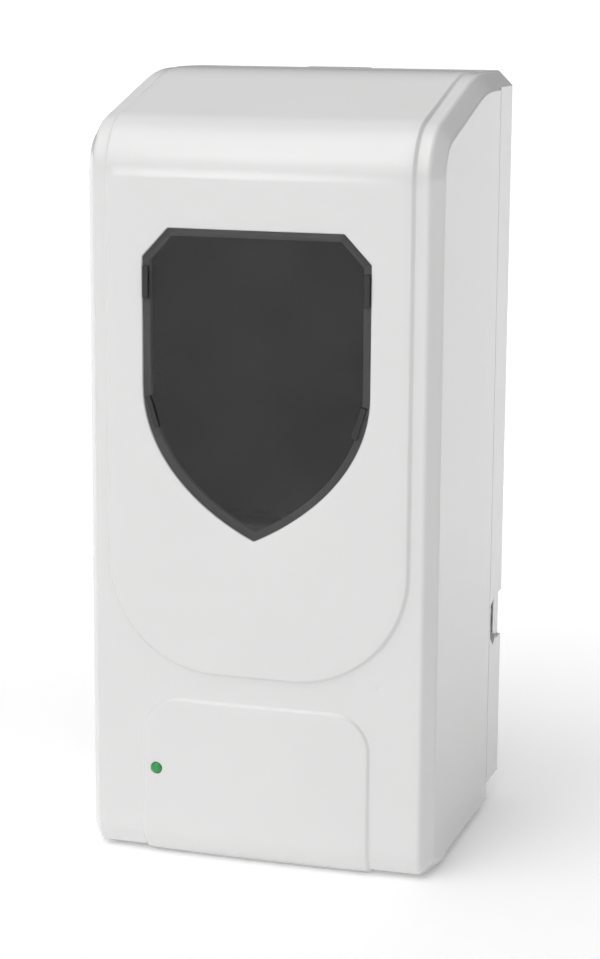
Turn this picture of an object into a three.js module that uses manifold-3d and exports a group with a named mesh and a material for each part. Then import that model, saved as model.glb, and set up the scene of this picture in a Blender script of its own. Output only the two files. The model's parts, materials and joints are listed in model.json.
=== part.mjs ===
// Touch-free wall-mounted soap dispenser, built as an assembly of separate parts.
// Units are millimetres. +X is the dispenser's left-to-right, +Y points into the wall, +Z is up.
// Inside this file heights are measured from the lip at the bottom of the cover. The whole
// assembly is then lowered by MOUNT_HEIGHT, so that the origin is the middle of the wall face.

import * as THREE from 'three';
import { mergeVertices } from 'three/addons/utils/BufferGeometryUtils.js';
import Module from 'manifold-3d';

const wasm = await Module();
wasm.setup();

// ---------------------------------------------------------------- driving dimensions
const WIDTH = 124;
const FRONT = -103.3;
const SPLIT = -18;
const TOP = 269.3;
const SIDE_BOTTOM = 3.5;
const MOUNT_HEIGHT = 190;
const WALL = 2.5;
const GAP = 0.3;

// cover profile, seen from the side
const LIP_RADIUS = 10;
const BEND_RADIUS = 20;
const ROOF_SLOPE = THREE.MathUtils.degToRad(16.5);
const ROOF_LEVEL_START = -30;
const BEND_START = 235.7;
const BOW_RADIUS = 793;
const FACET_ACROSS = 3.9;
const FACET_BACK = 5.7;

// raised panels on the cover
const PANEL_RAISE = 1.2;
const PANEL_HALF = 53.3;
const PANEL_BOTTOM = 67.4;
const PANEL_CORNER = 39.4;
const LOWER_RAISE = 0.8;
const LOWER_HALF = 40.4;
const LOWER_TOP = 57.2;
const LOWER_CORNER = 13;

// shield window
const SHIELD_TOP = 219.6;
const SHIELD_TOP_HALF = 30.6;
const SHIELD_HALF = 39.8;
const SHIELD_SHOULDER = 209.8;
const SHIELD_WAIST = 166.5;
const SHIELD_TIP = 115.2;
const LEDGE = 2.6;
const LENS_THICK = 1.5;
const HOOK_LENGTH = 11;
const HOOK_REACH = 8.4;

// status light, bottom corner of the lower panel
const LIGHT_X = -35.8;
const LIGHT_Z = 31.7;
const LIGHT_HOLE = 2.05;
const LIGHT_STEM = 1.75;

// hinge of the cover
const HINGE_Y = -19.8;
const HINGE_Z = 5.2;
const HINGE_PIN_RADIUS = 1.5;
const HINGE_PIN_X = 54.4;
const HINGE_BOSS_X = 56.8;
const HINGE_LUG_X = 52;

// back plate
const PLATE_BOTTOM = 4.2;
const PLATE_FLOOR = 3;
const PLATE_CHAMFER = 5.2;
const PLATE_FRONT = SPLIT + GAP;
const BOSS_RADIUS = 4.5;
const KEYHOLE_X = 30;
const KEYHOLE_Z = 232;
const LOWER_SLOT_Z = 150;
const SCREW_HEAD_OPENING = 4.5;
const SCREW_SHANK_OPENING = 2.4;
const KEYHOLE_RISE = 8;
const SLOT_REACH = 3.5;

// latch, its guide in the back plate and its spring
const LATCH_HALF = 11.4;
const LATCH_STEM_HALF = 10.6;
const LATCH_ARM_HALF = 9;
const LATCH_FOOT = 258.6;
const LATCH_SHELF = 248.5;
const LATCH_SPRING_Y = -11.6;
const KEEPER_HALF = 11;

// power inlet, in a recess in the side of the back plate
const JACK_Y = -12;
const JACK_Z = 69.9;
const JACK_FACE = 60.6;
const JACK_BACK = 48;
const SOCKET_RADIUS = 3.05;
const SOCKET_BACK = 51;
const SOCKET_PIN_TIP = 57.4;

// drive housing
const HOUSING_HALF = 54;
const HOUSING_FRONT = -90;
const HOUSING_BACK = -18.3;
const HOUSING_BOTTOM = 10;
const HOUSING_TOP = 118;
const HOUSING_WALL = 2.4;
const SCREW_RADIUS = 1.3;
const SCREW_HEAD_RADIUS = 3;
const PILOT_RADIUS = 1.6;
const CLEARANCE_RADIUS = 1.7;
const HOUSING_SCREWS = [[-44, 24], [44, 24], [-44, 104], [44, 104]];

// reservoir
const TANK_HALF = 51;
const TANK_BOTTOM = 121;
const TANK_DECK = 244;
const TANK_FRONT = -93.5;
const TANK_BACK = -22;
const TANK_WALL = 2;
const NECK_Y = -56;
const NECK_RADIUS = 17;
const NECK_BORE = 15;
const CAP_RADIUS = 21;
const EAR_X = 26;
const EAR_Z = 248;
const OUTLET_Y = -40;
const OUTLET_BORE = 2.4;

// pump and motor, on a shaft that runs across the housing
const PUMP_Y = -44;
const DRIVE_GEAR_Z = 39;
const GEAR_CENTRES = 15;
const GEAR_TEETH = 10;
const PUMP_INNER = -28;
const PUMP_OUTER = -38;
const PUMP_HALF = 13;
const PUMP_X = -33;
const PORT_RADIUS = 2.9;
const PORT_BORE = 1.6;
const SHAFT_BORE = 1.8;
const MOTOR_RADIUS = 12;

// nozzle and sensor
const NOZZLE_Y = -61;
const SENSOR_Y = -76;
const SENSOR_X = 8;
const SENSOR_HALF = 14;
const NOZZLE_BORE = 1.6;

// main circuit board, upright behind the front panel
const BOARD_HALF = 48;
const BOARD_FRONT = -84;
const BOARD_BACK = -82.4;

// batteries
const CELL_RADIUS = 7.2;
const CELL_PITCH = 16;
const CELL_Y = -81;
const CELL_BOTTOM = 60.3;
const CELL_LENGTH = 50.4;
const CELL_COUNT = 4;
const CELL_NUB = 1.3;
const BATTERY_HALF = 35;
const BATTERY_WALL = 1.6;

// ---------------------------------------------------------------- solids
function solidFrom(geometry) {
  geometry.deleteAttribute('normal');
  geometry.deleteAttribute('uv');
  const merged = mergeVertices(geometry, 1e-4);
  return new wasm.Manifold(new wasm.Mesh({
    numProp: 3,
    vertProperties: new Float32Array(merged.attributes.position.array),
    triVerts: new Uint32Array(merged.index.array),
  }));
}

function geometryFrom(solid) {
  const mesh = solid.getMesh();
  const geometry = new THREE.BufferGeometry();
  geometry.setAttribute('position', new THREE.BufferAttribute(mesh.vertProperties, 3));
  geometry.setIndex(new THREE.BufferAttribute(mesh.triVerts, 1));
  return geometry;
}

function block(x0, x1, y0, y1, z0, z1) {
  const box = new THREE.BoxGeometry(x1 - x0, y1 - y0, z1 - z0);
  box.translate((x0 + x1) / 2, (y0 + y1) / 2, (z0 + z1) / 2);
  return solidFrom(box);
}

// a solid of revolution from [radius, height] points, its axis laid along x, y or z
function turned(profile, axis, centre, segments = 24) {
  const points = profile.map(([radius, height]) => new THREE.Vector2(radius, height));
  const lathe = new THREE.LatheGeometry(points, segments);
  if (axis === 'z') lathe.rotateX(Math.PI / 2);
  if (axis === 'x') lathe.rotateZ(-Math.PI / 2);
  lathe.translate(...centre);
  return solidFrom(lathe);
}

function rod(axis, centre, radius, from, to, segments = 24) {
  return turned([[0, from], [radius, from], [radius, to], [0, to]], axis, centre, segments);
}

function tube(axis, centre, inner, outer, from, to, segments = 24) {
  const profile = [[inner, from], [outer, from], [outer, to], [inner, to], [inner, from]];
  return turned(profile, axis, centre, segments);
}

// an outline in x and z, pushed along y
function plate(outline, from, to) {
  const shape = new THREE.Shape(outline.map(([x, z]) => new THREE.Vector2(x, z)));
  const prism = new THREE.ExtrudeGeometry(shape, { depth: to - from, bevelEnabled: false });
  prism.rotateX(Math.PI / 2);
  prism.translate(0, to, 0);
  return solidFrom(prism);
}

// an outline in y and z, pushed across x; the two ends can be bevelled inwards
function across(outline, half, bevelAcross = 0, bevelIn = 0) {
  const shape = new THREE.Shape(outline.map(([y, z]) => new THREE.Vector2(y, z)));
  const settings = {
    depth: 2 * (half - bevelAcross),
    bevelEnabled: bevelAcross > 0,
    bevelThickness: bevelAcross,
    bevelSize: bevelIn,
    bevelOffset: -bevelIn,
    bevelSegments: 1,
  };
  const prism = new THREE.ExtrudeGeometry(shape, settings);
  prism.translate(0, 0, bevelAcross - half);
  prism.applyMatrix4(new THREE.Matrix4().set(
    0, 0, 1, 0,
    1, 0, 0, 0,
    0, 1, 0, 0,
    0, 0, 0, 1,
  ));
  return solidFrom(prism);
}

function arc(centreY, centreZ, radius, fromDegrees, toDegrees, steps) {
  const points = [];
  for (let i = 0; i <= steps; i += 1) {
    const angle = THREE.MathUtils.degToRad(fromDegrees + ((toDegrees - fromDegrees) * i) / steps);
    points.push([centreY + radius * Math.cos(angle), centreZ + radius * Math.sin(angle)]);
  }
  return points;
}

function hose(points, radius, bore, steps, sides = 8) {
  const path = new THREE.CatmullRomCurve3(points.map((p) => new THREE.Vector3(...p)));
  const section = new THREE.Shape();
  section.absarc(0, 0, radius, 0, 2 * Math.PI, false);
  if (bore > 0) {
    const hole = new THREE.Path();
    hole.absarc(0, 0, bore, 0, 2 * Math.PI, true);
    section.holes.push(hole);
  }
  const settings = { steps, curveSegments: sides / 2, extrudePath: path, bevelEnabled: false };
  return solidFrom(new THREE.ExtrudeGeometry(section, settings));
}

function joined(...solids) {
  return solids.reduce((sum, solid) => sum.add(solid));
}

function cutBy(solid, ...tools) {
  return tools.reduce((rest, tool) => rest.subtract(tool), solid);
}

// ---------------------------------------------------------------- materials and nodes
const FINISHES = {
  shellWhite: { color: '#f1f1ef', roughness: 0.18, metalness: 0 },
  insideWhite: { color: '#dededb', roughness: 0.45, metalness: 0 },
  smokedPlastic: { color: '#2b2b2c', roughness: 0.08, metalness: 0 },
  reservoirPlastic: { color: '#3d3e40', roughness: 0.35, metalness: 0 },
  capGrey: { color: '#4a4d50', roughness: 0.5, metalness: 0 },
  blackPlastic: { color: '#161617', roughness: 0.4, metalness: 0 },
  acetal: { color: '#ece9df', roughness: 0.4, metalness: 0 },
  silicone: { color: '#d8d6cf', roughness: 0.6, metalness: 0 },
  blackRubber: { color: '#1b1b1b', roughness: 0.8, metalness: 0 },
  steel: { color: '#b9bbbd', roughness: 0.3, metalness: 1 },
  board: { color: '#1d5a34', roughness: 0.5, metalness: 0 },
  greenLight: { color: '#23c552', roughness: 0.2, metalness: 0 },
  clearPlastic: { color: '#bfeccb', roughness: 0.1, metalness: 0 },
  cellJacket: { color: '#3c4043', roughness: 0.35, metalness: 0 },
  wire: { color: '#7d1f1f', roughness: 0.6, metalness: 0 },
};

const group = new THREE.Group();
const assembly = new THREE.Group();
assembly.position.z = -MOUNT_HEIGHT;
group.add(assembly);

function place(name, solid, finish) {
  const mesh = new THREE.Mesh(geometryFrom(solid), new THREE.MeshStandardMaterial(FINISHES[finish]));
  mesh.name = name;
  assembly.add(mesh);
  return mesh;
}

// ---------------------------------------------------------------- outlines
// Side profile of the cover, moved outwards by grow. Bottom end is either the curled lip or open.
function coverProfile(grow, openBottom) {
  const bendTurn = 90 - THREE.MathUtils.radToDeg(ROOF_SLOPE);
  const lip = arc(FRONT + LIP_RADIUS, LIP_RADIUS, LIP_RADIUS + grow, 250, 180, 5);
  const bend = arc(FRONT + BEND_RADIUS, BEND_START, BEND_RADIUS + grow, 180, 180 - bendTurn, 7);
  const slopeStartY = FRONT + BEND_RADIUS - BEND_RADIUS * Math.sin(ROOF_SLOPE);
  const slopeStartZ = BEND_START + BEND_RADIUS * Math.cos(ROOF_SLOPE);
  const risePerRadius = 1 - Math.cos(ROOF_SLOPE);
  const roofRadius = roofArcRadius(slopeStartY, slopeStartZ, risePerRadius);
  const slopeDegrees = THREE.MathUtils.radToDeg(ROOF_SLOPE);
  const roof = arc(ROOF_LEVEL_START, TOP - roofRadius, roofRadius + grow, 90 + slopeDegrees, 90, 4);
  const below = -30;
  const behind = 20;
  const foot = openBottom
    ? [[lip[0][0] + 1.5, below], [lip[0][0] + 1.5, lip[0][1]]]
    : [[lip[0][0] + (lip[0][1] - below) / Math.tan(THREE.MathUtils.degToRad(20)), below]];
  return [...foot, ...lip, ...bend, ...roof, [behind, TOP + grow], [behind, below]].reverse();
}

// radius of the arc that carries the sloping roof into its level end at TOP
function roofArcRadius(slopeStartY, slopeStartZ, risePerRadius) {
  const run = ROOF_LEVEL_START - slopeStartY;
  const rise = TOP - slopeStartZ;
  const slope = Math.tan(ROOF_SLOPE);
  return (run * slope - rise) / (Math.sin(ROOF_SLOPE) * slope - risePerRadius);
}

// plan of the bowed front, as a tall solid that keeps everything behind the bow
function bowKeeper(forward) {
  const outline = [[80, 30], [-80, 30]];
  const steps = 16;
  for (let i = 0; i <= steps; i += 1) {
    const x = -80 + (160 * i) / steps;
    outline.push([x, FRONT - forward + (x * x) / (2 * BOW_RADIUS)]);
  }
  const shape = new THREE.Shape(outline.map(([x, y]) => new THREE.Vector2(x, y)));
  const prism = new THREE.ExtrudeGeometry(shape, { depth: 340, bevelEnabled: false });
  prism.translate(0, 0, -35);
  return solidFrom(prism);
}

function upperPanelOutline(inset) {
  const half = PANEL_HALF - inset;
  const bottom = PANEL_BOTTOM + inset;
  const corner = PANEL_CORNER - inset;
  return [
    [half, 300],
    [-half, 300],
    ...arc(-half + corner, bottom + corner, corner, 180, 270, 9),
    ...arc(half - corner, bottom + corner, corner, 270, 360, 9),
  ];
}

function lowerPanelOutline(inset) {
  const half = LOWER_HALF - inset;
  const top = LOWER_TOP - inset;
  const corner = LOWER_CORNER - inset;
  return [
    [-half, -20],
    [half, -20],
    ...arc(half - corner, top - corner, corner, 0, 90, 5),
    ...arc(-half + corner, top - corner, corner, 90, 180, 5),
  ];
}

// shield outline, moved inwards by inset; each lower side is one cubic sweep to the tip
function shieldOutline(inset) {
  const sweep = new THREE.CubicBezierCurve(
    new THREE.Vector2(SHIELD_HALF, SHIELD_WAIST),
    new THREE.Vector2(SHIELD_HALF, SHIELD_WAIST - 23),
    new THREE.Vector2(22, SHIELD_TIP + 10.3),
    new THREE.Vector2(0, SHIELD_TIP),
  ).getPoints(8);
  const right = [
    [SHIELD_TOP_HALF, SHIELD_TOP],
    [SHIELD_HALF, SHIELD_SHOULDER],
    ...sweep.map((p) => [p.x, p.y]),
  ];
  const left = right.slice(0, -1).reverse().map(([x, z]) => [-x, z]);
  return insetOutline([...right, ...left], inset);
}

// moves a convex clockwise outline inwards by the same distance along every edge
function insetOutline(outline, inset) {
  const edges = outline.map(([x, z], i) => {
    const [nextX, nextZ] = outline[(i + 1) % outline.length];
    const length = Math.hypot(nextX - x, nextZ - z);
    const along = [(nextX - x) / length, (nextZ - z) / length];
    return { from: [x + along[1] * inset, z - along[0] * inset], along };
  });
  return edges.map((edge, i) => {
    const before = edges[(i + edges.length - 1) % edges.length];
    const cross = before.along[0] * edge.along[1] - before.along[1] * edge.along[0];
    if (Math.abs(cross) < 1e-6) return edge.from;
    const offset = [edge.from[0] - before.from[0], edge.from[1] - before.from[1]];
    const t = (offset[0] * edge.along[1] - offset[1] * edge.along[0]) / cross;
    return [before.from[0] + before.along[0] * t, before.from[1] + before.along[1] * t];
  });
}

// octagonal outline of the back plate, with its four corners cut at 45 degrees
function plateOutline(inset) {
  const half = WIDTH / 2 - inset;
  const low = PLATE_BOTTOM + inset;
  const high = TOP - inset;
  const cut = PLATE_CHAMFER - inset * (2 - Math.SQRT2);
  return [
    [half - cut, low],
    [half, low + cut],
    [half, high - cut],
    [half - cut, high],
    [cut - half, high],
    [-half, high - cut],
    [-half, low + cut],
    [cut - half, low],
  ];
}

// gear outline with involute flanks; toothAngle points at the middle of one tooth
function gearOutline(toothAngle) {
  const pitchRadius = GEAR_CENTRES / 2;
  const pressure = THREE.MathUtils.degToRad(28);
  const base = pitchRadius * Math.cos(pressure);
  const tip = 8.7;
  const root = 5.6;
  const halfThickness = 1.02;
  const involute = (angle) => Math.tan(angle) - angle;
  const outline = [];
  for (let tooth = 0; tooth < GEAR_TEETH; tooth += 1) {
    const middle = toothAngle + (2 * Math.PI * tooth) / GEAR_TEETH;
    const flank = [root, base, 7.5, 8.2, tip].map((radius) => {
      const roll = radius <= base ? 0 : involute(Math.acos(base / radius));
      return [radius, halfThickness / pitchRadius + involute(pressure) - roll];
    });
    const rising = flank.map(([radius, half]) => [radius, middle - half]);
    const falling = [...flank].reverse().map(([radius, half]) => [radius, middle + half]);
    outline.push(...rising, ...falling);
  }
  return outline.map(([radius, angle]) => [radius * Math.cos(angle), radius * Math.sin(angle)]);
}

// ---------------------------------------------------------------- the cover and what it carries
function coverBody() {
  const rim = across(coverProfile(0, false), WIDTH / 2, FACET_ACROSS, FACET_BACK)
    .intersect(bowKeeper(0));
  const upper = across(coverProfile(PANEL_RAISE, false), PANEL_HALF)
    .intersect(plate(upperPanelOutline(0), -130, 30))
    .intersect(bowKeeper(PANEL_RAISE));
  const lower = across(coverProfile(LOWER_RAISE, false), LOWER_HALF)
    .intersect(plate(lowerPanelOutline(0), -130, -60))
    .intersect(bowKeeper(LOWER_RAISE));
  const hollow = across(coverProfile(-WALL, true), WIDTH / 2 - WALL, FACET_ACROSS - 1, FACET_BACK - 1)
    .intersect(bowKeeper(-WALL));
  const bottomCut = across([
    [30, SIDE_BOTTOM], [-76, SIDE_BOTTOM], [-92, 0], [-130, 0], [-130, -60], [30, -60],
  ], 80);
  return cutBy(
    joined(rim, upper, lower),
    hollow,
    bottomCut,
    block(-80, 80, SPLIT - GAP, 40, -40, 300),
  );
}

function hingeBosses() {
  const sides = [-1, 1].map((side) => {
    const boss = rod('x', [side * HINGE_BOSS_X, HINGE_Y, HINGE_Z], 3.4, -2.2, 2.2);
    const web = block(...ordered(side * 56, side * 60.5), HINGE_Y - 5, HINGE_Y + 0.3, SIDE_BOTTOM, 9.5);
    return joined(boss, web);
  });
  return joined(...sides);
}

function ordered(a, b) {
  return [Math.min(a, b), Math.max(a, b)];
}

function hookCentres() {
  return [
    { x: SHIELD_HALF - LEDGE / 2, z: 201.2, lean: 0 },
    { x: 37.2, z: 157.4, lean: 0.31 },
  ];
}

// short bars for the snap hooks and for the slots that they pass through
function hookBars(grow, yFrom, yTo) {
  const bars = [];
  for (const side of [-1, 1]) {
    for (const hook of hookCentres()) {
      const bar = new THREE.BoxGeometry(LEDGE - 0.6 + grow, yTo - yFrom, HOOK_LENGTH + grow);
      bar.rotateY(side * hook.lean);
      bar.translate(side * (hook.x - (hook.lean > 0 ? 1.0 : 0)), (yFrom + yTo) / 2, hook.z);
      bars.push(solidFrom(bar));
    }
  }
  return joined(...bars);
}

function cover() {
  const seat = FRONT - PANEL_RAISE + LENS_THICK + 0.2;
  const rebate = plate(shieldOutline(-0.3), -130, seat);
  const aperture = plate(shieldOutline(LEDGE), -130, -95);
  const keeper = block(-KEEPER_HALF, KEEPER_HALF, -25.6, -23.4, 261.6, 267.4);
  const cornerRelief = [-1, 1].map((side) => {
    const wedge = across([
      [SPLIT, SIDE_BOTTOM - 1], [SPLIT, SIDE_BOTTOM + 1.4], [SPLIT - 1.7, SIDE_BOTTOM - 1],
    ], 4);
    return wedge.translate([side * 61, 0, 0]);
  });
  return cutBy(
    joined(coverBody(), hingeBosses(), keeper),
    rebate,
    aperture,
    hookBars(0.6, -110, -95),
    rod('y', [LIGHT_X, 0, LIGHT_Z], LIGHT_HOLE, -110, -95),
    turned([[0, -0.6], [1.3, 0.6], [0, 0.6]], 'y', [43.6, FRONT + 1.2, 67.6], 12),
    rod('x', [0, HINGE_Y, HINGE_Z], HINGE_PIN_RADIUS + 0.15, -60, 60),
    ...cornerRelief,
  );
}

function windowLens() {
  const face = FRONT - PANEL_RAISE + 0.1;
  const sheet = plate(shieldOutline(0.25), face, face + LENS_THICK);
  const hooks = hookBars(0, face + 1, face + HOOK_REACH);
  const barbs = [];
  for (const side of [-1, 1]) {
    const barb = block(...ordered(side * 36.6, side * 40.4), face + 6.2, face + HOOK_REACH, 197.2, 205.2);
    barbs.push(barb);
  }
  return joined(sheet, hooks, ...barbs).intersect(bowKeeper(PANEL_RAISE - 0.1));
}

function lightGuide() {
  const stem = rod('y', [LIGHT_X, 0, LIGHT_Z], LIGHT_STEM, -103.2, -97.6);
  const collar = rod('y', [LIGHT_X, 0, LIGHT_Z], 3, -99.6, -98.6);
  return joined(stem, collar);
}

place('front_cover', cover(), 'shellWhite');
place('window_lens', windowLens(), 'smokedPlastic');
place('light_guide', lightGuide(), 'clearPlastic');
for (const [side, name] of [[-1, 'hinge_pin_left'], [1, 'hinge_pin_right']]) {
  const pin = rod('x', [side * HINGE_PIN_X, HINGE_Y, HINGE_Z], HINGE_PIN_RADIUS, -4.5, 4.5, 20);
  place(name, pin, 'steel');
}

// ---------------------------------------------------------------- back plate
function wallScrewOpenings() {
  const openings = [];
  for (const x of [-KEYHOLE_X, KEYHOLE_X]) {
    const shank = SCREW_SHANK_OPENING;
    const top = KEYHOLE_Z + KEYHOLE_RISE;
    openings.push(rod('y', [x, 0, KEYHOLE_Z], SCREW_HEAD_OPENING, -6, 2));
    openings.push(rod('y', [x, 0, top], shank, -6, 2, 16));
    openings.push(block(x - shank, x + shank, -6, 2, KEYHOLE_Z, top));
    openings.push(rod('y', [x - SLOT_REACH, 0, LOWER_SLOT_Z], shank, -6, 2, 16));
    openings.push(rod('y', [x + SLOT_REACH, 0, LOWER_SLOT_Z], shank, -6, 2, 16));
    const slotLow = LOWER_SLOT_Z - shank;
    openings.push(block(x - SLOT_REACH, x + SLOT_REACH, -6, 2, slotLow, slotLow + 2 * shank));
  }
  return joined(...openings);
}

function jackOpening() {
  const outline = [[-16.4, 64.5], [-12, 60.8], [-7.6, 64.5], [-7.6, 79.4], [-9.4, 79.4], [-16.4, 77]];
  return across(outline, 4).translate([WIDTH / 2, 0, 0]);
}

function backPlate() {
  const tray = cutBy(
    plate(plateOutline(0), PLATE_FRONT, 0),
    plate(plateOutline(WALL), PLATE_FRONT - 2, -PLATE_FLOOR),
  );
  const additions = [];
  for (const [x, z] of HOUSING_SCREWS) {
    additions.push(rod('y', [x, 0, z], BOSS_RADIUS, HOUSING_BACK + GAP, -1));
  }
  for (const x of [-EAR_X, EAR_X]) {
    additions.push(rod('y', [x, 0, EAR_Z], BOSS_RADIUS, TANK_BACK + GAP, -1));
  }
  for (const x of [-14, 14]) {
    additions.push(block(x - 0.8, x + 0.8, -8, -2, 128, 222));
  }
  for (const z of [128, 176, 222]) {
    additions.push(block(-14, 14, -8, -2, z - 0.8, z + 0.8));
  }
  for (const side of [-1, 1]) {
    const lug = across([
      [-1, PLATE_BOTTOM], [HINGE_Y, HINGE_Z - 3], [HINGE_Y - 3, HINGE_Z - 1],
      [HINGE_Y - 3, HINGE_Z + 2], [HINGE_Y, HINGE_Z + 3.6], [-1, HINGE_Z + 3.6],
    ], 2.1).translate([side * HINGE_LUG_X, 0, 0]);
    additions.push(lug);
    const cheek = ordered(side * 12.8, side * 14.6);
    additions.push(block(...cheek, PLATE_FRONT + 0.5, -1, LATCH_SHELF - 2, TOP - 1));
  }
  additions.push(block(-13.5, 13.5, -16.4, -1, LATCH_SHELF - 2, LATCH_SHELF));
  const removals = [
    block(-LATCH_HALF - 1, LATCH_HALF + 1, -30, -5.6, 262, 280),
    wallScrewOpenings(),
    jackOpening(),
    block(WIDTH / 2 - 1.1, WIDTH / 2 + 1, -8, 1, 62.4, 79.3),
    rod('x', [0, HINGE_Y, HINGE_Z], HINGE_PIN_RADIUS + GAP, -60, 60),
    block(54.2, 59.7, -30, -15.6, -5, 9.6),
    block(-59.7, -54.2, -30, -15.6, -5, 9.6),
  ];
  for (const [x, z] of HOUSING_SCREWS) {
    removals.push(rod('y', [x, 0, z], PILOT_RADIUS, -30, -4.5, 12));
  }
  for (const x of [-EAR_X, EAR_X]) {
    removals.push(rod('y', [x, 0, EAR_Z], PILOT_RADIUS, -30, -6, 12));
  }
  return cutBy(joined(tray, ...additions), ...removals);
}

place('back_plate', backPlate(), 'shellWhite');

// ---------------------------------------------------------------- latch
function latchButton() {
  const cap = block(-LATCH_HALF, LATCH_HALF, -17.4, -6.4, 267, TOP + 0.5);
  const body = block(-LATCH_STEM_HALF, LATCH_STEM_HALF, -16, -7.4, LATCH_FOOT, 267.2);
  const arm = block(-LATCH_ARM_HALF, LATCH_ARM_HALF, -28.6, -15, LATCH_FOOT, 260.8);
  const toothOutline = [[-27, 265.4], [-26.3, 265.4], [-26.3, 260], [-28.6, 260]];
  const tooth = across(toothOutline, LATCH_ARM_HALF);
  return joined(cap, body, arm, tooth);
}

place('latch_button', latchButton(), 'shellWhite');
const springFrom = LATCH_SHELF + GAP;
const springTo = LATCH_FOOT - GAP;
place('latch_spring', tube('z', [0, LATCH_SPRING_Y, 0], 2.4, 3.6, springFrom, springTo, 16), 'steel');

// ---------------------------------------------------------------- reservoir
function tankProfile(inset) {
  return [
    [TANK_BACK - inset, TANK_BOTTOM + inset],
    [TANK_BACK - inset, TANK_DECK - inset],
    [-78 + inset * 0.25, TANK_DECK - inset],
    [TANK_FRONT + inset, 236 - inset * 0.65],
    [TANK_FRONT + inset, TANK_BOTTOM + 3 + inset * 0.4],
    [TANK_FRONT + 3 + inset * 0.4, TANK_BOTTOM + inset],
  ];
}

function reservoir() {
  const shell = across(tankProfile(0), TANK_HALF, 3, 3);
  const inside = across(tankProfile(TANK_WALL), TANK_HALF - TANK_WALL, 2.4, 2.4);
  const neck = rod('z', [0, NECK_Y, 0], NECK_RADIUS, TANK_DECK - 1, 249.6, 32);
  const ears = [-EAR_X, EAR_X].map((x) => block(x - 7, x + 7, TANK_BACK - 2.4, TANK_BACK, 238, 253));
  const screwHoles = [-EAR_X, EAR_X].map((x) => rod('y', [x, 0, EAR_Z], CLEARANCE_RADIUS, -30, -20, 12));
  return cutBy(
    joined(shell, neck, ...ears),
    inside,
    rod('z', [0, NECK_Y, 0], NECK_BORE, 230, 260, 32),
    rod('z', [0, OUTLET_Y, 0], 5.8, 110, 130),
    ...screwHoles,
  );
}

function fillerCap() {
  const outer = rod('z', [0, NECK_Y, 0], CAP_RADIUS, 245, 253.5, 32);
  const bore = rod('z', [0, NECK_Y, 0], NECK_RADIUS + 0.5, 240, 251.9, 32);
  const flutes = [];
  const fluteCount = 12;
  for (let i = 0; i < fluteCount; i += 1) {
    const angle = (2 * Math.PI * i) / fluteCount;
    const centre = [CAP_RADIUS * Math.cos(angle), NECK_Y + CAP_RADIUS * Math.sin(angle), 0];
    flutes.push(rod('z', centre, 1.4, 240, 252.4, 10));
  }
  return cutBy(outer, bore, ...flutes);
}

function ring(centre, radius, thickness, sides = 6) {
  const profile = [];
  for (let i = 0; i <= sides; i += 1) {
    const angle = (2 * Math.PI * i) / sides;
    profile.push([radius + thickness * Math.cos(angle), thickness * Math.sin(angle)]);
  }
  profile[sides] = profile[0];
  return turned(profile, 'z', centre, 28);
}

function tankOutlet() {
  const outer = turned([
    [0, 104], [3.6, 104], [4, 106], [3.4, 107], [3.4, 117.6], [9, 117.6],
    [9, 119.4], [5.4, 119.4], [5.4, 124.6], [0, 124.6],
  ], 'z', [0, OUTLET_Y, 0]);
  return outer.subtract(rod('z', [0, OUTLET_Y, 0], OUTLET_BORE, 100, 130, 16));
}

place('reservoir', reservoir(), 'reservoirPlastic');
place('filler_cap', fillerCap(), 'capGrey');
place('filler_seal', ring([0, NECK_Y, 250.75], 15.9, 0.8), 'blackRubber');
place('tank_outlet', tankOutlet(), 'acetal');
place('outlet_seal', tube('z', [0, OUTLET_Y, 0], 5.8, 8.6, 119.7, 120.7), 'blackRubber');
for (const [x, name] of [[-EAR_X, 'tank_screw_left'], [EAR_X, 'tank_screw_right']]) {
  place(name, panScrew([x, 0, EAR_Z], TANK_BACK - 2.7, -8), 'steel');
}

// pan-head screw along y, its head in front of headY and its shank running back to tipY
function panScrew([x, , z], headY, tipY) {
  const rim = SCREW_HEAD_RADIUS;
  const domed = [[0, headY - 2], [rim - 0.8, headY - 2], [rim, headY - 1], [rim, headY], [0, headY]];
  const head = turned(domed, 'y', [x, 0, z], 16);
  const shank = rod('y', [x, 0, z], SCREW_RADIUS, headY - 0.2, tipY, 12);
  const crossA = block(x - 1.6, x + 1.6, headY - 3, headY - 1, z - 0.35, z + 0.35);
  const crossB = block(x - 0.35, x + 0.35, headY - 3, headY - 1, z - 1.6, z + 1.6);
  return cutBy(joined(head, shank), crossA, crossB);
}

// ---------------------------------------------------------------- drive housing
function driveHousing() {
  const inner = HOUSING_HALF - HOUSING_WALL;
  const box = cutBy(
    block(-HOUSING_HALF, HOUSING_HALF, HOUSING_FRONT, HOUSING_BACK, HOUSING_BOTTOM, HOUSING_TOP),
    block(-inner, inner, HOUSING_FRONT - 5, HOUSING_BACK - HOUSING_WALL,
      HOUSING_BOTTOM + HOUSING_WALL, HOUSING_TOP - HOUSING_WALL),
  );
  const saddles = [9.6, 15.6].map((x) => block(x, x + 2.4, -53, -35, HOUSING_BOTTOM + 1, 30));
  const motorSpace = rod('x', [0, PUMP_Y, DRIVE_GEAR_Z], MOTOR_RADIUS + 0.5, -12, 24, 32);
  const screwHoles = HOUSING_SCREWS.map(([x, z]) => rod('y', [x, 0, z], CLEARANCE_RADIUS, -30, -10, 12));
  return cutBy(
    joined(box, ...saddles.map((saddle) => saddle.subtract(motorSpace))),
    rod('z', [0, OUTLET_Y, 0], 11, 110, 122),
    rod('z', [0, NOZZLE_Y, 0], 6.4, 5, 15),
    block(-SENSOR_HALF, SENSOR_HALF, SENSOR_Y - 4, SENSOR_Y + 4, 5, 15),
    rod('y', [36, 0, 66], 3, -25, -15, 16),
    ...screwHoles,
  );
}

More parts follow.
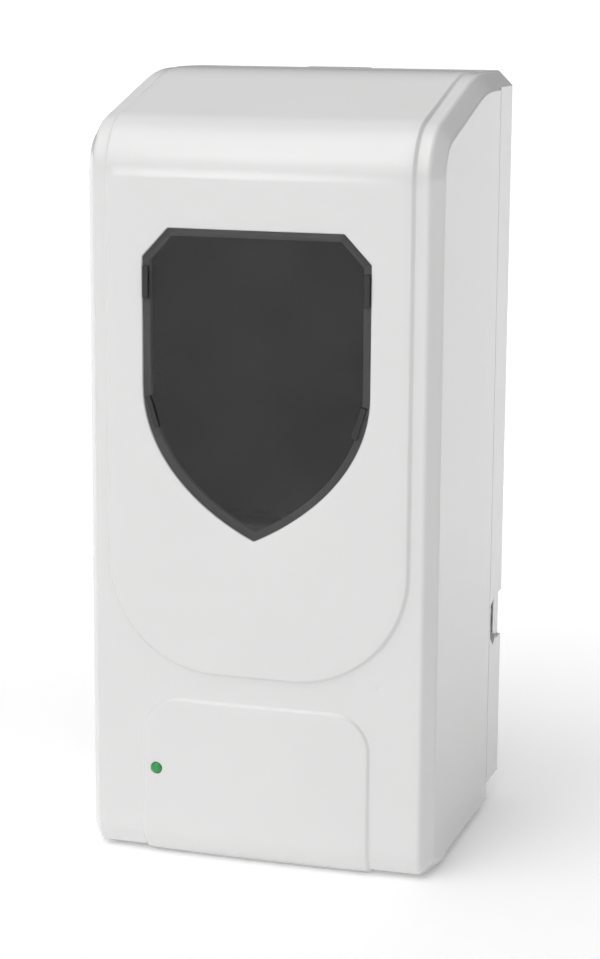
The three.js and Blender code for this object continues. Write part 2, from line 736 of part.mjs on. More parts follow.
function driveFrontPanel() {
  const back = HOUSING_FRONT - GAP;
  const face = block(-HOUSING_HALF, HOUSING_HALF, back - 2.3, back, HOUSING_BOTTOM, HOUSING_TOP);
  return cutBy(
    face,
    block(-BATTERY_HALF, BATTERY_HALF, -95, -85, 56, 114),
    rod('y', [LIGHT_X, 0, LIGHT_Z], 2, -95, -85, 16),
    block(33.4, 39.1, -95, -85, 29.6, 33.8),
  );
}

function batteryBox() {
  const inner = BATTERY_HALF - BATTERY_WALL;
  return cutBy(
    block(-BATTERY_HALF, BATTERY_HALF, -90, -70, 55.5, 114.5),
    block(-inner, inner, -92, -70 - BATTERY_WALL, 55.5 + BATTERY_WALL, 114.5 - BATTERY_WALL),
    rod('z', [30, -75, 0], 1.6, 50, 60, 12),
  );
}

function batteryDoor() {
  const leaf = block(-34.7, 34.7, -92.6, -90.4, 56.3, 113.7);
  const thumbGrip = rod('y', [0, 0, 107], 5, -94, -91.4, 20);
  const ribs = [-2, 0, 2].map((z) => block(-4.4, 4.4, -92.2, -91, 107 + z - 0.4, 107 + z + 0.4));
  return joined(leaf.subtract(thumbGrip), ...ribs);
}

place('drive_housing', driveHousing(), 'insideWhite');
place('drive_front_panel', driveFrontPanel(), 'insideWhite');
place('battery_box', batteryBox(), 'insideWhite');
place('battery_door', batteryDoor(), 'insideWhite');
HOUSING_SCREWS.forEach(([x, z], i) => {
  place(`housing_screw_${i + 1}`, panScrew([x, 0, z], HOUSING_BACK - 2.7, -6), 'steel');
});

// ---------------------------------------------------------------- batteries and their contacts
for (let i = 0; i < CELL_COUNT; i += 1) {
  const x = CELL_PITCH * (i - (CELL_COUNT - 1) / 2);
  const up = i % 2 === 0;
  const from = CELL_BOTTOM;
  const to = CELL_BOTTOM + CELL_LENGTH;
  const wide = CELL_RADIUS;
  const nub = CELL_NUB;
  const jacket = up
    ? [[0, from], [wide, from], [wide, to - nub], [2.8, to - nub], [2.8, to], [0, to]]
    : [[0, from], [2.8, from], [2.8, from + nub], [wide, from + nub], [wide, to], [0, to]];
  place(`battery_cell_${i + 1}`, turned(jacket, 'z', [x, CELL_Y, 0], 20), 'cellJacket');
  const springFoot = up ? 57.4 : to + 0.2;
  const springHead = up ? from - 0.3 : 112.6;
  const coil = up
    ? [[2.6, springFoot], [5.2, springFoot], [3.2, springHead], [1.2, springHead], [2.6, springFoot]]
    : [[1.2, springFoot], [3.2, springFoot], [5.2, springHead], [2.6, springHead], [1.2, springFoot]];
  place(`battery_spring_${i + 1}`, turned(coil, 'z', [x, CELL_Y, 0], 16), 'steel');
}

// ---------------------------------------------------------------- pump
function pumpBody() {
  const low = DRIVE_GEAR_Z - PUMP_HALF;
  const high = DRIVE_GEAR_Z + GEAR_CENTRES + PUMP_HALF;
  const shell = block(PUMP_OUTER, -24, PUMP_Y - PUMP_HALF, PUMP_Y + PUMP_HALF, low, high);
  const middle = DRIVE_GEAR_Z + GEAR_CENTRES / 2;
  const inlet = rod('z', [PUMP_X, PUMP_Y + 8, 0], PORT_RADIUS, high - 1, high + 9, 16);
  const outlet = rod('y', [PUMP_X, 0, middle], PORT_RADIUS, PUMP_Y - 22, PUMP_Y - 12, 16);
  const chambers = [DRIVE_GEAR_Z, DRIVE_GEAR_Z + GEAR_CENTRES].map(
    (z) => rod('x', [0, PUMP_Y, z], 9.1, PUMP_OUTER - 2, PUMP_INNER, 32),
  );
  return cutBy(
    joined(shell, inlet, outlet),
    ...chambers,
    rod('z', [PUMP_X, PUMP_Y + 8, 0], PORT_BORE, middle, high + 12, 12),
    rod('y', [PUMP_X, 0, middle], PORT_BORE, PUMP_Y - 26, PUMP_Y - 3, 12),
    rod('x', [0, PUMP_Y, DRIVE_GEAR_Z], SHAFT_BORE, -40, -20, 16),
    rod('x', [0, PUMP_Y, DRIVE_GEAR_Z + GEAR_CENTRES], SHAFT_BORE, -40, -26, 16),
  );
}

function pumpCover() {
  const low = DRIVE_GEAR_Z - PUMP_HALF;
  const high = DRIVE_GEAR_Z + GEAR_CENTRES + PUMP_HALF;
  return block(PUMP_OUTER - 3.3, PUMP_OUTER - GAP, PUMP_Y - PUMP_HALF, PUMP_Y + PUMP_HALF, low, high);
}

function pumpGear(centreZ, toothAngle, shaftFrom, shaftTo) {
  const shape = new THREE.Shape(gearOutline(toothAngle).map(([y, z]) => new THREE.Vector2(y, z)));
  const wheel = new THREE.ExtrudeGeometry(shape, { depth: 8.8, bevelEnabled: false });
  wheel.applyMatrix4(new THREE.Matrix4().set(
    0, 0, 1, PUMP_OUTER + 0.5,
    1, 0, 0, PUMP_Y,
    0, 1, 0, centreZ,
    0, 0, 0, 1,
  ));
  const shaft = rod('x', [0, PUMP_Y, centreZ], HINGE_PIN_RADIUS, shaftFrom, shaftTo, 16);
  return joined(solidFrom(wheel), shaft);
}

function gearbox() {
  const shell = rod('x', [0, PUMP_Y, DRIVE_GEAR_Z], MOTOR_RADIUS, -23.7, -8, 32);
  return shell.subtract(rod('x', [0, PUMP_Y, DRIVE_GEAR_Z], SHAFT_BORE, -30, -18.5, 16));
}

function motorCan() {
  const can = rod('x', [0, PUMP_Y, DRIVE_GEAR_Z], MOTOR_RADIUS, -7.7, 19, 32);
  const flats = block(-10, 25, PUMP_Y - 10, PUMP_Y + 10, 20, 60);
  return can.intersect(flats);
}

place('pump_body', pumpBody(), 'acetal');
place('pump_cover', pumpCover(), 'acetal');
const shaftEnd = PUMP_OUTER + GAP;
const idlerZ = DRIVE_GEAR_Z + GEAR_CENTRES;
const idlerTooth = -Math.PI / 2 + Math.PI / GEAR_TEETH;
place('pump_drive_gear', pumpGear(DRIVE_GEAR_Z, Math.PI / 2, shaftEnd, -19), 'acetal');
place('pump_idler_gear', pumpGear(idlerZ, idlerTooth, shaftEnd, -26.4), 'acetal');
place('gearbox_case', gearbox(), 'acetal');
place('motor_can', motorCan(), 'steel');
place('motor_end_cap', rod('x', [0, PUMP_Y, DRIVE_GEAR_Z], 8.6, 19.3, 22.3), 'blackPlastic');

// ---------------------------------------------------------------- hoses and nozzle
place('inlet_hose', hose([
  [0, OUTLET_Y, 117.2], [0, OUTLET_Y, 110], [0, OUTLET_Y, 103], [-5, -39, 95], [-18, -37, 88],
  [-29, -36, 86], [-33, -36, 80], [-33, -36, 74], [-33, -36, 68.2],
], 5.6, 4.4, 26, 12), 'silicone');
place('outlet_hose', hose([
  [-33, -58.2, 46.5], [-33, -63, 46.5], [-32, -69, 46.2], [-24, -73, 44], [-10, -72, 41.5],
  [-2, -67, 40], [0, -62.5, 36], [0, NOZZLE_Y, 30], [0, NOZZLE_Y, 24], [0, NOZZLE_Y, 16],
], 4.6, 3.4, 26, 12), 'silicone');

function nozzle() {
  const outer = turned([
    [0, 4.2], [3.6, 4.2], [6, 10], [6, 12.8], [9, 12.8], [9, 14.8], [3, 14.8], [3, 23],
    [2.6, 25], [0, 25],
  ], 'z', [0, NOZZLE_Y, 0]);
  return outer.subtract(rod('z', [0, NOZZLE_Y, 0], NOZZLE_BORE, 0, 30, 16));
}

place('nozzle', nozzle(), 'shellWhite');
place('nozzle_valve', turned([
  [0.5, 1.2], [2.2, 1.2], [3.4, 3.9], [1.4, 3.9], [0.5, 1.2],
], 'z', [0, NOZZLE_Y, 0], 20), 'silicone');

// ---------------------------------------------------------------- electronics
place('circuit_board', block(-BOARD_HALF, BOARD_HALF, BOARD_FRONT, BOARD_BACK, 14, 53), 'board');
const sensorFrom = SENSOR_Y - 4;
const sensorTo = SENSOR_Y + 4;
place('sensor_board', block(-SENSOR_HALF, SENSOR_HALF, sensorFrom, sensorTo, 24.4, 26), 'board');

function domedPart(axis, centre, radius, base, tip) {
  const way = Math.sign(tip - base);
  const shoulder = tip - way * radius;
  const dome = [90, 60, 30, 0].map((degrees) => {
    const angle = THREE.MathUtils.degToRad(degrees);
    return [radius * Math.sin(angle), shoulder + way * radius * Math.cos(angle)];
  });
  dome[dome.length - 1][0] = 0;
  const profile = [[0, base], [radius, base], ...dome];
  return turned(way > 0 ? profile : profile.reverse(), axis, centre, 16);
}

place('status_led', domedPart('y', [LIGHT_X, 0, LIGHT_Z], 1.5, -84.3, -96), 'greenLight');
place('ir_emitter', domedPart('z', [-SENSOR_X, SENSOR_Y, 0], 2.5, 24.1, 12.6), 'clearPlastic');
place('ir_receiver', domedPart('z', [SENSOR_X, SENSOR_Y, 0], 2.5, 24.1, 12.6), 'blackPlastic');
const windowHalf = SENSOR_HALF - GAP;
const sensorWindow = block(-windowHalf, windowHalf, sensorFrom + GAP, sensorTo - GAP, 10.2, 12);
place('sensor_window', sensorWindow, 'smokedPlastic');
place('switch_body', block(30, 42, -89.9, -84.3, 27.5, 36), 'blackPlastic');
place('switch_slider', block(33.7, 36.2, -93.9, -90.2, 29.9, 33.5), 'blackPlastic');

function dcJack() {
  const body = block(JACK_BACK, JACK_FACE, JACK_Y - 4.1, JACK_Y + 4.1, JACK_Z - 4.3, JACK_Z + 4.3);
  const socket = rod('x', [0, JACK_Y, JACK_Z], SOCKET_RADIUS, SOCKET_BACK, JACK_FACE + 1, 16);
  const centrePin = rod('x', [0, JACK_Y, JACK_Z], 1, SOCKET_BACK - 1, SOCKET_PIN_TIP, 12);
  return joined(body.subtract(socket), centrePin);
}

place('dc_jack', dcJack(), 'blackPlastic');
place('jack_lead', hose([
  [47.6, -12, 70], [42, -12, 69.5], [37, -14, 67], [36, -19.5, 66], [37, -30, 64], [42, -50, 58],
  [43, -70, 48], [43, -82.1, 45],
], 1.4, 0, 24), 'wire');
place('motor_lead', hose([
  [22.7, PUMP_Y, 42], [28, PUMP_Y - 2, 43], [33, -55, 46], [34, -70, 46], [34, -82.1, 44],
], 1.2, 0, 18), 'wire');
place('battery_lead', hose([
  [30, -75, 56.6], [30, -75, 53], [28, -76, 49], [25, -79, 47], [24, -82.1, 46.5],
], 1.1, 0, 14), 'wire');

export default group;
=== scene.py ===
"""Wall-mounted touch-free soap dispenser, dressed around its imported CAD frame.

The cover is rebuilt as one smooth moulded shell with its raised panels, window seat and light hole.
The other visible parts are softened copies of their CAD solids or finer rebuilt shapes, and every part gets
a procedural finish. Sizes inside the classes are in millimetres, and heights are measured from the lip at
the bottom of the cover. Space turns them into the frame's metres.
"""

import json
import logging
import math
from dataclasses import dataclass, field
from enum import Enum
from typing import Callable, Iterable, Optional, Sequence, Union

import bmesh
import bpy
from mathutils import Matrix, Vector
from mathutils.geometry import delaunay_2d_cdt
from mathutils.kdtree import KDTree


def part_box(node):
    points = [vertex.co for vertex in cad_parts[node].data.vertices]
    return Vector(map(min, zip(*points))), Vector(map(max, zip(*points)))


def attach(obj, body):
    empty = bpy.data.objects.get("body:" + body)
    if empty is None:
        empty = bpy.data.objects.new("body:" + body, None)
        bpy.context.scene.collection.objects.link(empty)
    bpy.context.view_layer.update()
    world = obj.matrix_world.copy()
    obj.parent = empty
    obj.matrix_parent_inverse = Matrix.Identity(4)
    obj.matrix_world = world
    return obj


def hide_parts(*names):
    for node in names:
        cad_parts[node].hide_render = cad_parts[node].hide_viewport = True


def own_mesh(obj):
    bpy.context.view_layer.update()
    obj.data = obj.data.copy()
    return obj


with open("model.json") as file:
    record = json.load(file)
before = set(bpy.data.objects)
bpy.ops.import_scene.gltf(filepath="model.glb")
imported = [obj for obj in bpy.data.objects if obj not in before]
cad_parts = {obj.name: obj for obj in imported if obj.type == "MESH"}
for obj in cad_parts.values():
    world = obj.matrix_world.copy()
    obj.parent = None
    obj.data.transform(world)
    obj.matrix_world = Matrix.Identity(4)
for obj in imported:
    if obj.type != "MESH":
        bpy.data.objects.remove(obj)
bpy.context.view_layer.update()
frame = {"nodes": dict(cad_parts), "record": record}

LOG = logging.getLogger("dispenser")
MM = 0.001

Flat = tuple[float, float]
Point = tuple[float, float, float]
Colour = tuple[float, float, float]


class Axis(Enum):
    """The axis that a turned shape is laid along."""

    X = 0
    Y = 1
    Z = 2


class Body(Enum):
    """The moving bodies of the frame."""

    CHASSIS = "chassis"
    COVER = "cover"
    LATCH = "latch"
    CAP = "cap"
    DRIVE_GEAR = "drive_gear"
    IDLER_GEAR = "idler_gear"
    MODE_SWITCH = "mode_switch"


@dataclass(frozen=True)
class Space:
    """Turns millimetres above the cover's lip into the frame's metres."""

    lip: float

    def metres(self, point: Iterable[float]) -> Vector:
        """Returns a point of the drawing in the frame."""
        x, y, z = point
        return Vector((x * MM, y * MM, z * MM + self.lip))

    def drawing(self, point: Vector) -> Vector:
        """Returns a point of the frame in the drawing's millimetres."""
        return Vector((point.x / MM, point.y / MM, (point.z - self.lip) / MM))


SPACE = Space(lip=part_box("front_cover")[0].z)


def node_box(node: str) -> tuple[Vector, Vector]:
    """Returns the lowest and highest corner of a CAD node in the drawing's millimetres."""
    low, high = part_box(node)
    return SPACE.drawing(low), SPACE.drawing(high)


# ------------------------------------------------------------------------------------------------ shaders
class Value:
    """A shader socket that takes part in Python sums."""

    def __init__(self, graph: "Graph", socket: bpy.types.NodeSocket) -> None:
        """Keeps the graph that owns the socket."""
        self.graph = graph
        self.socket = socket

    def __add__(self, other: "Term") -> "Value":
        """Returns self + other."""
        return self.graph.maths("ADD", self, other)

    def __radd__(self, other: "Term") -> "Value":
        """Returns other + self."""
        return self.graph.maths("ADD", other, self)

    def __sub__(self, other: "Term") -> "Value":
        """Returns self - other."""
        return self.graph.maths("SUBTRACT", self, other)

    def __rsub__(self, other: "Term") -> "Value":
        """Returns other - self."""
        return self.graph.maths("SUBTRACT", other, self)

    def __mul__(self, other: "Term") -> "Value":
        """Returns self * other."""
        return self.graph.maths("MULTIPLY", self, other)

    def __rmul__(self, other: "Term") -> "Value":
        """Returns other * self."""
        return self.graph.maths("MULTIPLY", other, self)

    def __pow__(self, other: "Term") -> "Value":
        """Returns self raised to other."""
        return self.graph.maths("POWER", self, other)

    def above(self, edge: float) -> "Value":
        """Returns 1 where the value is above the edge, and 0 elsewhere."""
        return self.graph.maths("GREATER_THAN", self, edge)


Term = Union[Value, float]


class Graph:
    """A material's or a world's node tree, written from Python."""

    def __init__(self, name: str, owner: Optional[bpy.types.World] = None) -> None:
        """Starts an empty material, or empties a world that is handed in."""
        self.material = owner or bpy.data.materials.new(name)
        self.material.use_nodes = True
        self.tree = self.material.node_tree
        self.tree.nodes.clear()

    def node(self, kind: str, settings: Optional[dict] = None, inputs: Optional[dict] = None) -> bpy.types.Node:
        """Adds one node.

        Args:
            kind: the node's type name.
            settings: its properties, set first; "stops" fills a colour ramp.
            inputs: socket name or number to a value, a Value or a socket.

        Returns:
            The new node.
        """
        made = self.tree.nodes.new(kind)
        for name, value in (settings or {}).items():
            if name == "stops":
                self._fill_ramp(made.color_ramp, value)
            else:
                setattr(made, name, value)
        for name, value in (inputs or {}).items():
            socket = made.inputs[name]
            if isinstance(value, Value):
                self.tree.links.new(value.socket, socket)
            elif isinstance(value, bpy.types.NodeSocket):
                self.tree.links.new(value, socket)
            else:
                socket.default_value = value
        return made

    @staticmethod
    def _fill_ramp(ramp: bpy.types.ColorRamp, stops: Sequence[tuple[float, Colour]]) -> None:
        """Sets the stops of a colour ramp."""
        while len(ramp.elements) < len(stops):
            ramp.elements.new(0.5)
        for element, (place, colour) in zip(ramp.elements, stops):
            element.position = place
            element.color = (*colour, 1.0)

    def maths(self, operation: str, first: Term, second: Term) -> Value:
        """Returns a Math node's result."""
        made = self.node("ShaderNodeMath", {"operation": operation}, {0: first, 1: second})
        return Value(self, made.outputs[0])

    def place(self, scale: Point = (1.0, 1.0, 1.0)) -> Value:
        """Returns Object coordinates, stretched by scale."""
        coordinates = self.node("ShaderNodeTexCoord")
        mapping = self.node("ShaderNodeMapping", {}, {"Vector": coordinates.outputs["Object"], "Scale": scale})
        return Value(self, mapping.outputs["Vector"])

    def noise(self, size_mm: float, detail: float = 2.0, stretch: Point = (1.0, 1.0, 1.0)) -> Value:
        """Returns noise whose grains are about size_mm across."""
        made = self.node(
            "ShaderNodeTexNoise",
            {},
            {"Vector": self.place(stretch), "Scale": 1.0 / (size_mm * MM), "Detail": detail, "Roughness": 0.55},
        )
        return Value(self, made.outputs["Fac"])

    def between(self, low: Colour, high: Colour, share: Value) -> Value:
        """Returns a colour mixed from low to high by share."""
        made = self.node(
            "ShaderNodeMix",
            {"data_type": "RGBA", "clamp_factor": True},
            {0: share, 6: (*low, 1.0), 7: (*high, 1.0)},
        )
        return Value(self, made.outputs[2])

    def bumped(self, height: Value, depth_mm: float, strength: float = 1.0) -> Value:
        """Returns the normal of a relief depth_mm deep."""
        made = self.node("ShaderNodeBump", {}, {"Height": height, "Distance": depth_mm * MM, "Strength": strength})
        return Value(self, made.outputs["Normal"])

    def close(self, **sockets: object) -> bpy.types.Material:
        """Ends the tree with a Principled shader.

        Args:
            sockets: Principled sockets, with underscores for spaces.

        Returns:
            The material.
        """
        named = {name.replace("_", " "): value for name, value in sockets.items()}
        shader = self.node("ShaderNodeBsdfPrincipled", {}, named)
        self.node("ShaderNodeOutputMaterial", {}, {"Surface": shader.outputs[0]})
        return self.material


def shade(colour: Colour, factor: float) -> Colour:
    """Returns a colour made lighter or darker."""
    return tuple(min(1.0, channel * factor) for channel in colour)


@dataclass(frozen=True)
class Moulded:
    """Injection-moulded plastic: faint flow marks, uneven gloss and a fine surface grain."""

    name: str
    colour: Colour
    roughness: float = 0.25
    gloss_spread: float = 0.05
    tone_spread: float = 0.03
    grain_mm: float = 0.5
    grain_depth_mm: float = 0.004
    coat: float = 0.0
    alpha: float = 1.0
    subsurface: float = 0.0

    def material(self) -> bpy.types.Material:
        """Returns the finished material."""
        graph = Graph(self.name)
        flow = graph.noise(60.0, 3.0, (1.0, 1.0, 0.4))
        handling = graph.noise(9.0, 4.0)
        grain = graph.noise(self.grain_mm, 2.0)
        return graph.close(
            Base_Color=graph.between(shade(self.colour, 1 - self.tone_spread), self.colour, flow * 1.6 - 0.3),
            Roughness=self.roughness + (handling - 0.5) * (2 * self.gloss_spread),
            Normal=graph.bumped(grain, self.grain_depth_mm),
            Coat_Weight=self.coat,
            Coat_Roughness=0.04,
            Alpha=self.alpha,
            Subsurface_Weight=self.subsurface,
            Subsurface_Scale=0.004,
            IOR=1.5,
        )


@dataclass(frozen=True)
class PolishedShell:
    """High-gloss white shell: a slow ripple from the mould, fine wiping scratches and a little dust."""

    name: str = "polished_white_shell"
    colour: Colour = (0.735, 0.735, 0.732)
    roughness: float = 0.10
    ripple_mm: float = 26.0
    ripple_depth_mm: float = 0.012
    scratch_length_mm: float = 30.0

    def material(self) -> bpy.types.Material:
        """Returns the finished material."""
        graph = Graph(self.name)
        ripple = graph.noise(self.ripple_mm, 2.0)
        peel = graph.noise(1.6, 2.0)
        cloudy = graph.noise(45.0, 4.0)
        wiped = graph.noise(1.1, 3.0, (1.0, 1.0, 1.1 / self.scratch_length_mm))
        scratches = wiped.above(0.70)
        return graph.close(
            Base_Color=graph.between(shade(self.colour, 0.975), self.colour, cloudy * 2.0 - 0.5),
            Roughness=self.roughness + (cloudy - 0.5) * 0.07 + scratches * 0.10,
            Normal=graph.bumped(ripple + peel * 0.05, self.ripple_depth_mm),
            Coat_Weight=0.25,
            Coat_Roughness=0.05,
            IOR=1.52,
        )


@dataclass(frozen=True)
class Smoked:
    """See-through smoked plastic with light wear and fine scratches."""

    name: str = "smoked_window"
    colour: Colour = (0.030, 0.030, 0.031)
    alpha: float = 0.52
    roughness: float = 0.14

    def material(self) -> bpy.types.Material:
        """Returns the finished material."""
        graph = Graph(self.name)
        haze = graph.noise(22.0, 4.0)
        worn = graph.noise(0.8, 3.0, (0.05, 1.0, 1.0)).above(0.72)
        return graph.close(
            Base_Color=graph.between(self.colour, shade(self.colour, 1.9), haze * 1.5 - 0.35),
            Roughness=self.roughness + haze * 0.10 + worn * 0.15,
            Normal=graph.bumped(graph.noise(1.4, 2.0), 0.0015),
            Alpha=self.alpha,
            Specular_IOR_Level=0.36,
            IOR=1.49,
        )


@dataclass(frozen=True)
class Metal:
    """Plated or brushed metal with fine lines and handling marks."""

    name: str
    colour: Colour = (0.62, 0.62, 0.63)
    roughness: float = 0.28
    lines: Point = (1.0, 1.0, 0.06)

    def material(self) -> bpy.types.Material:
        """Returns the finished material."""
        graph = Graph(self.name)
        brushed = graph.noise(0.25, 3.0, self.lines)
        patches = graph.noise(5.0, 3.0)
        return graph.close(
            Base_Color=graph.between(shade(self.colour, 0.8), self.colour, patches * 1.6 - 0.2),
            Roughness=self.roughness + (brushed - 0.5) * 0.22,
            Metallic=1.0,
            Normal=graph.bumped(brushed, 0.004),
        )


@dataclass(frozen=True)
class Rubbery:
    """Rubber or silicone: matt, slightly mottled, with a soft fine grain."""

    name: str
    colour: Colour
    roughness: float = 0.6
    subsurface: float = 0.0

    def material(self) -> bpy.types.Material:
        """Returns the finished material."""
        graph = Graph(self.name)
        dust = graph.noise(3.0, 5.0)
        return graph.close(
            Base_Color=graph.between(self.colour, shade(self.colour, 1.25), dust * 2.0 - 0.8),
            Roughness=self.roughness + (dust - 0.5) * 0.2,
            Normal=graph.bumped(graph.noise(0.35, 2.0), 0.01),
            Subsurface_Weight=self.subsurface,
            Subsurface_Scale=0.003,
        )


@dataclass(frozen=True)
class Laminate:
    """Circuit board: solder mask over a glass weave, with tracks that show through."""

    name: str = "circuit_laminate"
    mask: Colour = (0.012, 0.14, 0.05)
    track: Colour = (0.03, 0.24, 0.09)

    def material(self) -> bpy.types.Material:
        """Returns the finished material."""
        graph = Graph(self.name)
        cells = graph.node(
            "ShaderNodeTexVoronoi",
            {"feature": "DISTANCE_TO_EDGE", "distance": "CHEBYCHEV"},
            {"Vector": graph.place(), "Scale": 260.0},
        )
        tracks = 1.0 - Value(graph, cells.outputs["Distance"]).above(0.07)
        weave = graph.noise(0.6, 1.0, (1.0, 1.0, 0.3))
        return graph.close(
            Base_Color=graph.between(self.mask, self.track, tracks),
            Roughness=0.3 + weave * 0.15,
            Normal=graph.bumped(tracks * 0.5 + weave * 0.2, 0.03),
            Coat_Weight=0.3,
        )


@dataclass(frozen=True)
class CellJacket:
    """Printed metal jacket of a battery cell: dark body, bright copper-coloured end band, no markings."""

    name: str = "cell_jacket"
    dark: Colour = (0.03, 0.034, 0.04)
    band: Colour = (0.62, 0.36, 0.17)
    band_from_mm: float = 96.0

    def material(self) -> bpy.types.Material:
        """Returns the finished material."""
        graph = Graph(self.name)
        parts = graph.node("ShaderNodeSeparateXYZ", {}, {0: graph.place()})
        height = Value(graph, parts.outputs["Z"])
        banded = height.above(self.band_from_mm * MM + SPACE.lip)
        scuffs = graph.noise(2.0, 4.0)
        return graph.close(
            Base_Color=graph.between(self.dark, self.band, banded),
            Roughness=0.22 + scuffs * 0.16,
            Metallic=0.6,
            Normal=graph.bumped(scuffs, 0.004),
            Coat_Weight=0.5,
        )


@dataclass(frozen=True)
class Glow:
    """Clear plastic lit from behind by a coloured diode."""

    name: str
    colour: Colour
    strength: float
    hot: Colour

    def material(self) -> bpy.types.Material:
        """Returns the finished material."""
        graph = Graph(self.name)
        depth = graph.noise(0.9, 2.0)
        return graph.close(
            Base_Color=graph.between(shade(self.colour, 0.7), self.colour, depth),
            Roughness=0.12 + depth * 0.1,
            Normal=graph.bumped(depth, 0.01),
            Emission_Color=graph.between(self.colour, self.hot, depth * 1.5 - 0.4),
            Emission_Strength=self.strength,
            IOR=1.5,
        )


class Palette:
    """Makes each finish once and hands out its material."""

    SHELL = PolishedShell()
    INSIDE = Moulded("plain_white_moulding", (0.76, 0.76, 0.75), 0.42, 0.06, 0.04, 0.45, 0.012)
    WINDOW = Smoked()
    SENSOR_WINDOW = Smoked("sensor_window", (0.012, 0.010, 0.014), 0.93, 0.12)
    # Near-black reservoir: painted shade, so the view into the housing through the smoked window comes out dark.
    TANK = Moulded("smoke_grey_reservoir", (0.030, 0.030, 0.032), 0.42, 0.08, 0.12, 0.9, 0.010)
    CAP = Moulded("grey_cap", (0.085, 0.09, 0.096), 0.46, 0.07, 0.10, 0.35, 0.02)
    BLACK = Moulded("black_plastic", (0.018, 0.018, 0.019), 0.38, 0.08, 0.20, 0.4, 0.012)
    ACETAL = Moulded("natural_acetal", (0.74, 0.71, 0.64), 0.34, 0.06, 0.04, 0.6, 0.008, 0.0, 1.0, 0.15)
    SILICONE = Rubbery("milky_silicone", (0.62, 0.60, 0.56), 0.45, 0.3)
    RUBBER = Rubbery("black_rubber", (0.02, 0.02, 0.02), 0.7)
    STEEL = Metal("plated_steel")
    MOTOR = Metal("drawn_motor_steel", (0.55, 0.55, 0.57), 0.32, (0.05, 1.0, 1.0))
    BOARD = Laminate()
    CELL = CellJacket()
    GUIDE = Glow("lit_light_guide", (0.02, 0.26, 0.06), 0.22, (0.06, 0.45, 0.13))
    DIODE = Glow("green_diode", (0.02, 0.5, 0.1), 1.5, (0.2, 1.0, 0.4))
    CLEAR = Moulded("clear_lens_plastic", (0.55, 0.60, 0.66), 0.08, 0.02, 0.05, 2.0, 0.002, 0.0, 0.6)
    WIRE = Rubbery("red_insulation", (0.30, 0.02, 0.018), 0.42)

    def __init__(self) -> None:
        """Starts with nothing mixed."""
        self.made: dict[str, bpy.types.Material] = {}

    def get(self, finish: object) -> bpy.types.Material:
        """Returns the finish's material, made on first use."""
        if finish.name not in self.made:
            self.made[finish.name] = finish.material()
        return self.made[finish.name]


PALETTE = Palette()

SLOT_FINISHES = {
    "shell_white": Palette.SHELL,
    "inside_white": Palette.INSIDE,
    "smoked_window": Palette.WINDOW,
    "light_guide_clear": Palette.GUIDE,
    "status_green": Palette.DIODE,
    "reservoir_translucent": Palette.TANK,
    "cap_grey": Palette.CAP,
    "black_plastic": Palette.BLACK,
    "acetal": Palette.ACETAL,
    "silicone": Palette.SILICONE,
    "black_rubber": Palette.RUBBER,
    "steel": Palette.STEEL,
    "circuit_green": Palette.BOARD,
    "cell_jacket": Palette.CELL,
    "wire_insulation": Palette.WIRE,
}


def slot_of(node: str) -> str:
    """Returns the record's material slot of a CAD node."""
    return next(part["material_slot"] for part in frame["record"]["subparts"] if part["node"] == node)


# ------------------------------------------------------------------------------------------------ lines
@dataclass(frozen=True)
class Stretch:
    """A straight or evenly curved stretch of a line."""

    start: float
    length: float
    origin: Flat
    heading: float
    turn: float = 0.0

    def at(self, distance: float) -> tuple[Flat, float]:
        """Returns the point and the heading at a distance from the stretch's start."""
        heading = self.heading + self.turn * distance
        if self.turn == 0.0:
            x = self.origin[0] + distance * math.cos(heading)
            y = self.origin[1] + distance * math.sin(heading)
            return (x, y), heading
        x = self.origin[0] + (math.sin(heading) - math.sin(self.heading)) / self.turn
        y = self.origin[1] - (math.cos(heading) - math.cos(self.heading)) / self.turn
        return (x, y), heading


class Line:
    """A line of straight stretches whose corners are rounded, measured along its length."""

    def __init__(self, corners: Sequence[tuple[Flat, float]]) -> None:
        """Lays out the stretches.

        Args:
            corners: each corner's point and the radius that rounds it; the two ends have radius 0.
        """
        self.stretches: list[Stretch] = []
        self.length = 0.0
        begin = corners[0][0]
        for (before, _), (corner, radius), (after, _) in zip(corners, corners[1:], corners[2:]):
            inward = math.atan2(corner[1] - before[1], corner[0] - before[0])
            outward = math.atan2(after[1] - corner[1], after[0] - corner[0])
            bend = (outward - inward + math.pi) % (2 * math.pi) - math.pi
            cut = radius * math.tan(abs(bend) / 2)
            reach = math.hypot(corner[0] - begin[0], corner[1] - begin[1])
            self._add(reach - cut, begin, inward, 0.0)
            arc_start = (corner[0] - cut * math.cos(inward), corner[1] - cut * math.sin(inward))
            if radius > 0:
                self._add(radius * abs(bend), arc_start, inward, math.copysign(1 / radius, bend))
            begin = (corner[0] + cut * math.cos(outward), corner[1] + cut * math.sin(outward))
        end = corners[-1][0]
        self._add(math.hypot(end[0] - begin[0], end[1] - begin[1]), begin,
                  math.atan2(end[1] - begin[1], end[0] - begin[0]), 0.0)

    def _add(self, length: float, origin: Flat, heading: float, turn: float) -> None:
        """Adds one stretch to the end."""
        self.stretches.append(Stretch(self.length, length, origin, heading, turn))
        self.length += length

    def at(self, distance: float) -> tuple[Flat, Flat]:
        """Returns the point and the left-hand normal at a distance along the line."""
        found = self.stretches[-1]
        for stretch in self.stretches:
            if distance < stretch.start + stretch.length:
                found = stretch
                break
        point, heading = found.at(distance - found.start)
        return point, (-math.sin(heading), math.cos(heading))

    def stations(self, step: float, degrees: float) -> list[float]:
        """Returns distances that split straights by step and curves by degrees."""
        places = [0.0]
        for stretch in self.stretches:
            wanted = stretch.length / step
            if stretch.turn:
                wanted = math.degrees(abs(stretch.turn) * stretch.length) / degrees
            count = max(1, math.ceil(wanted))
            places += [stretch.start + stretch.length * (i + 1) / count for i in range(count)]
        return places


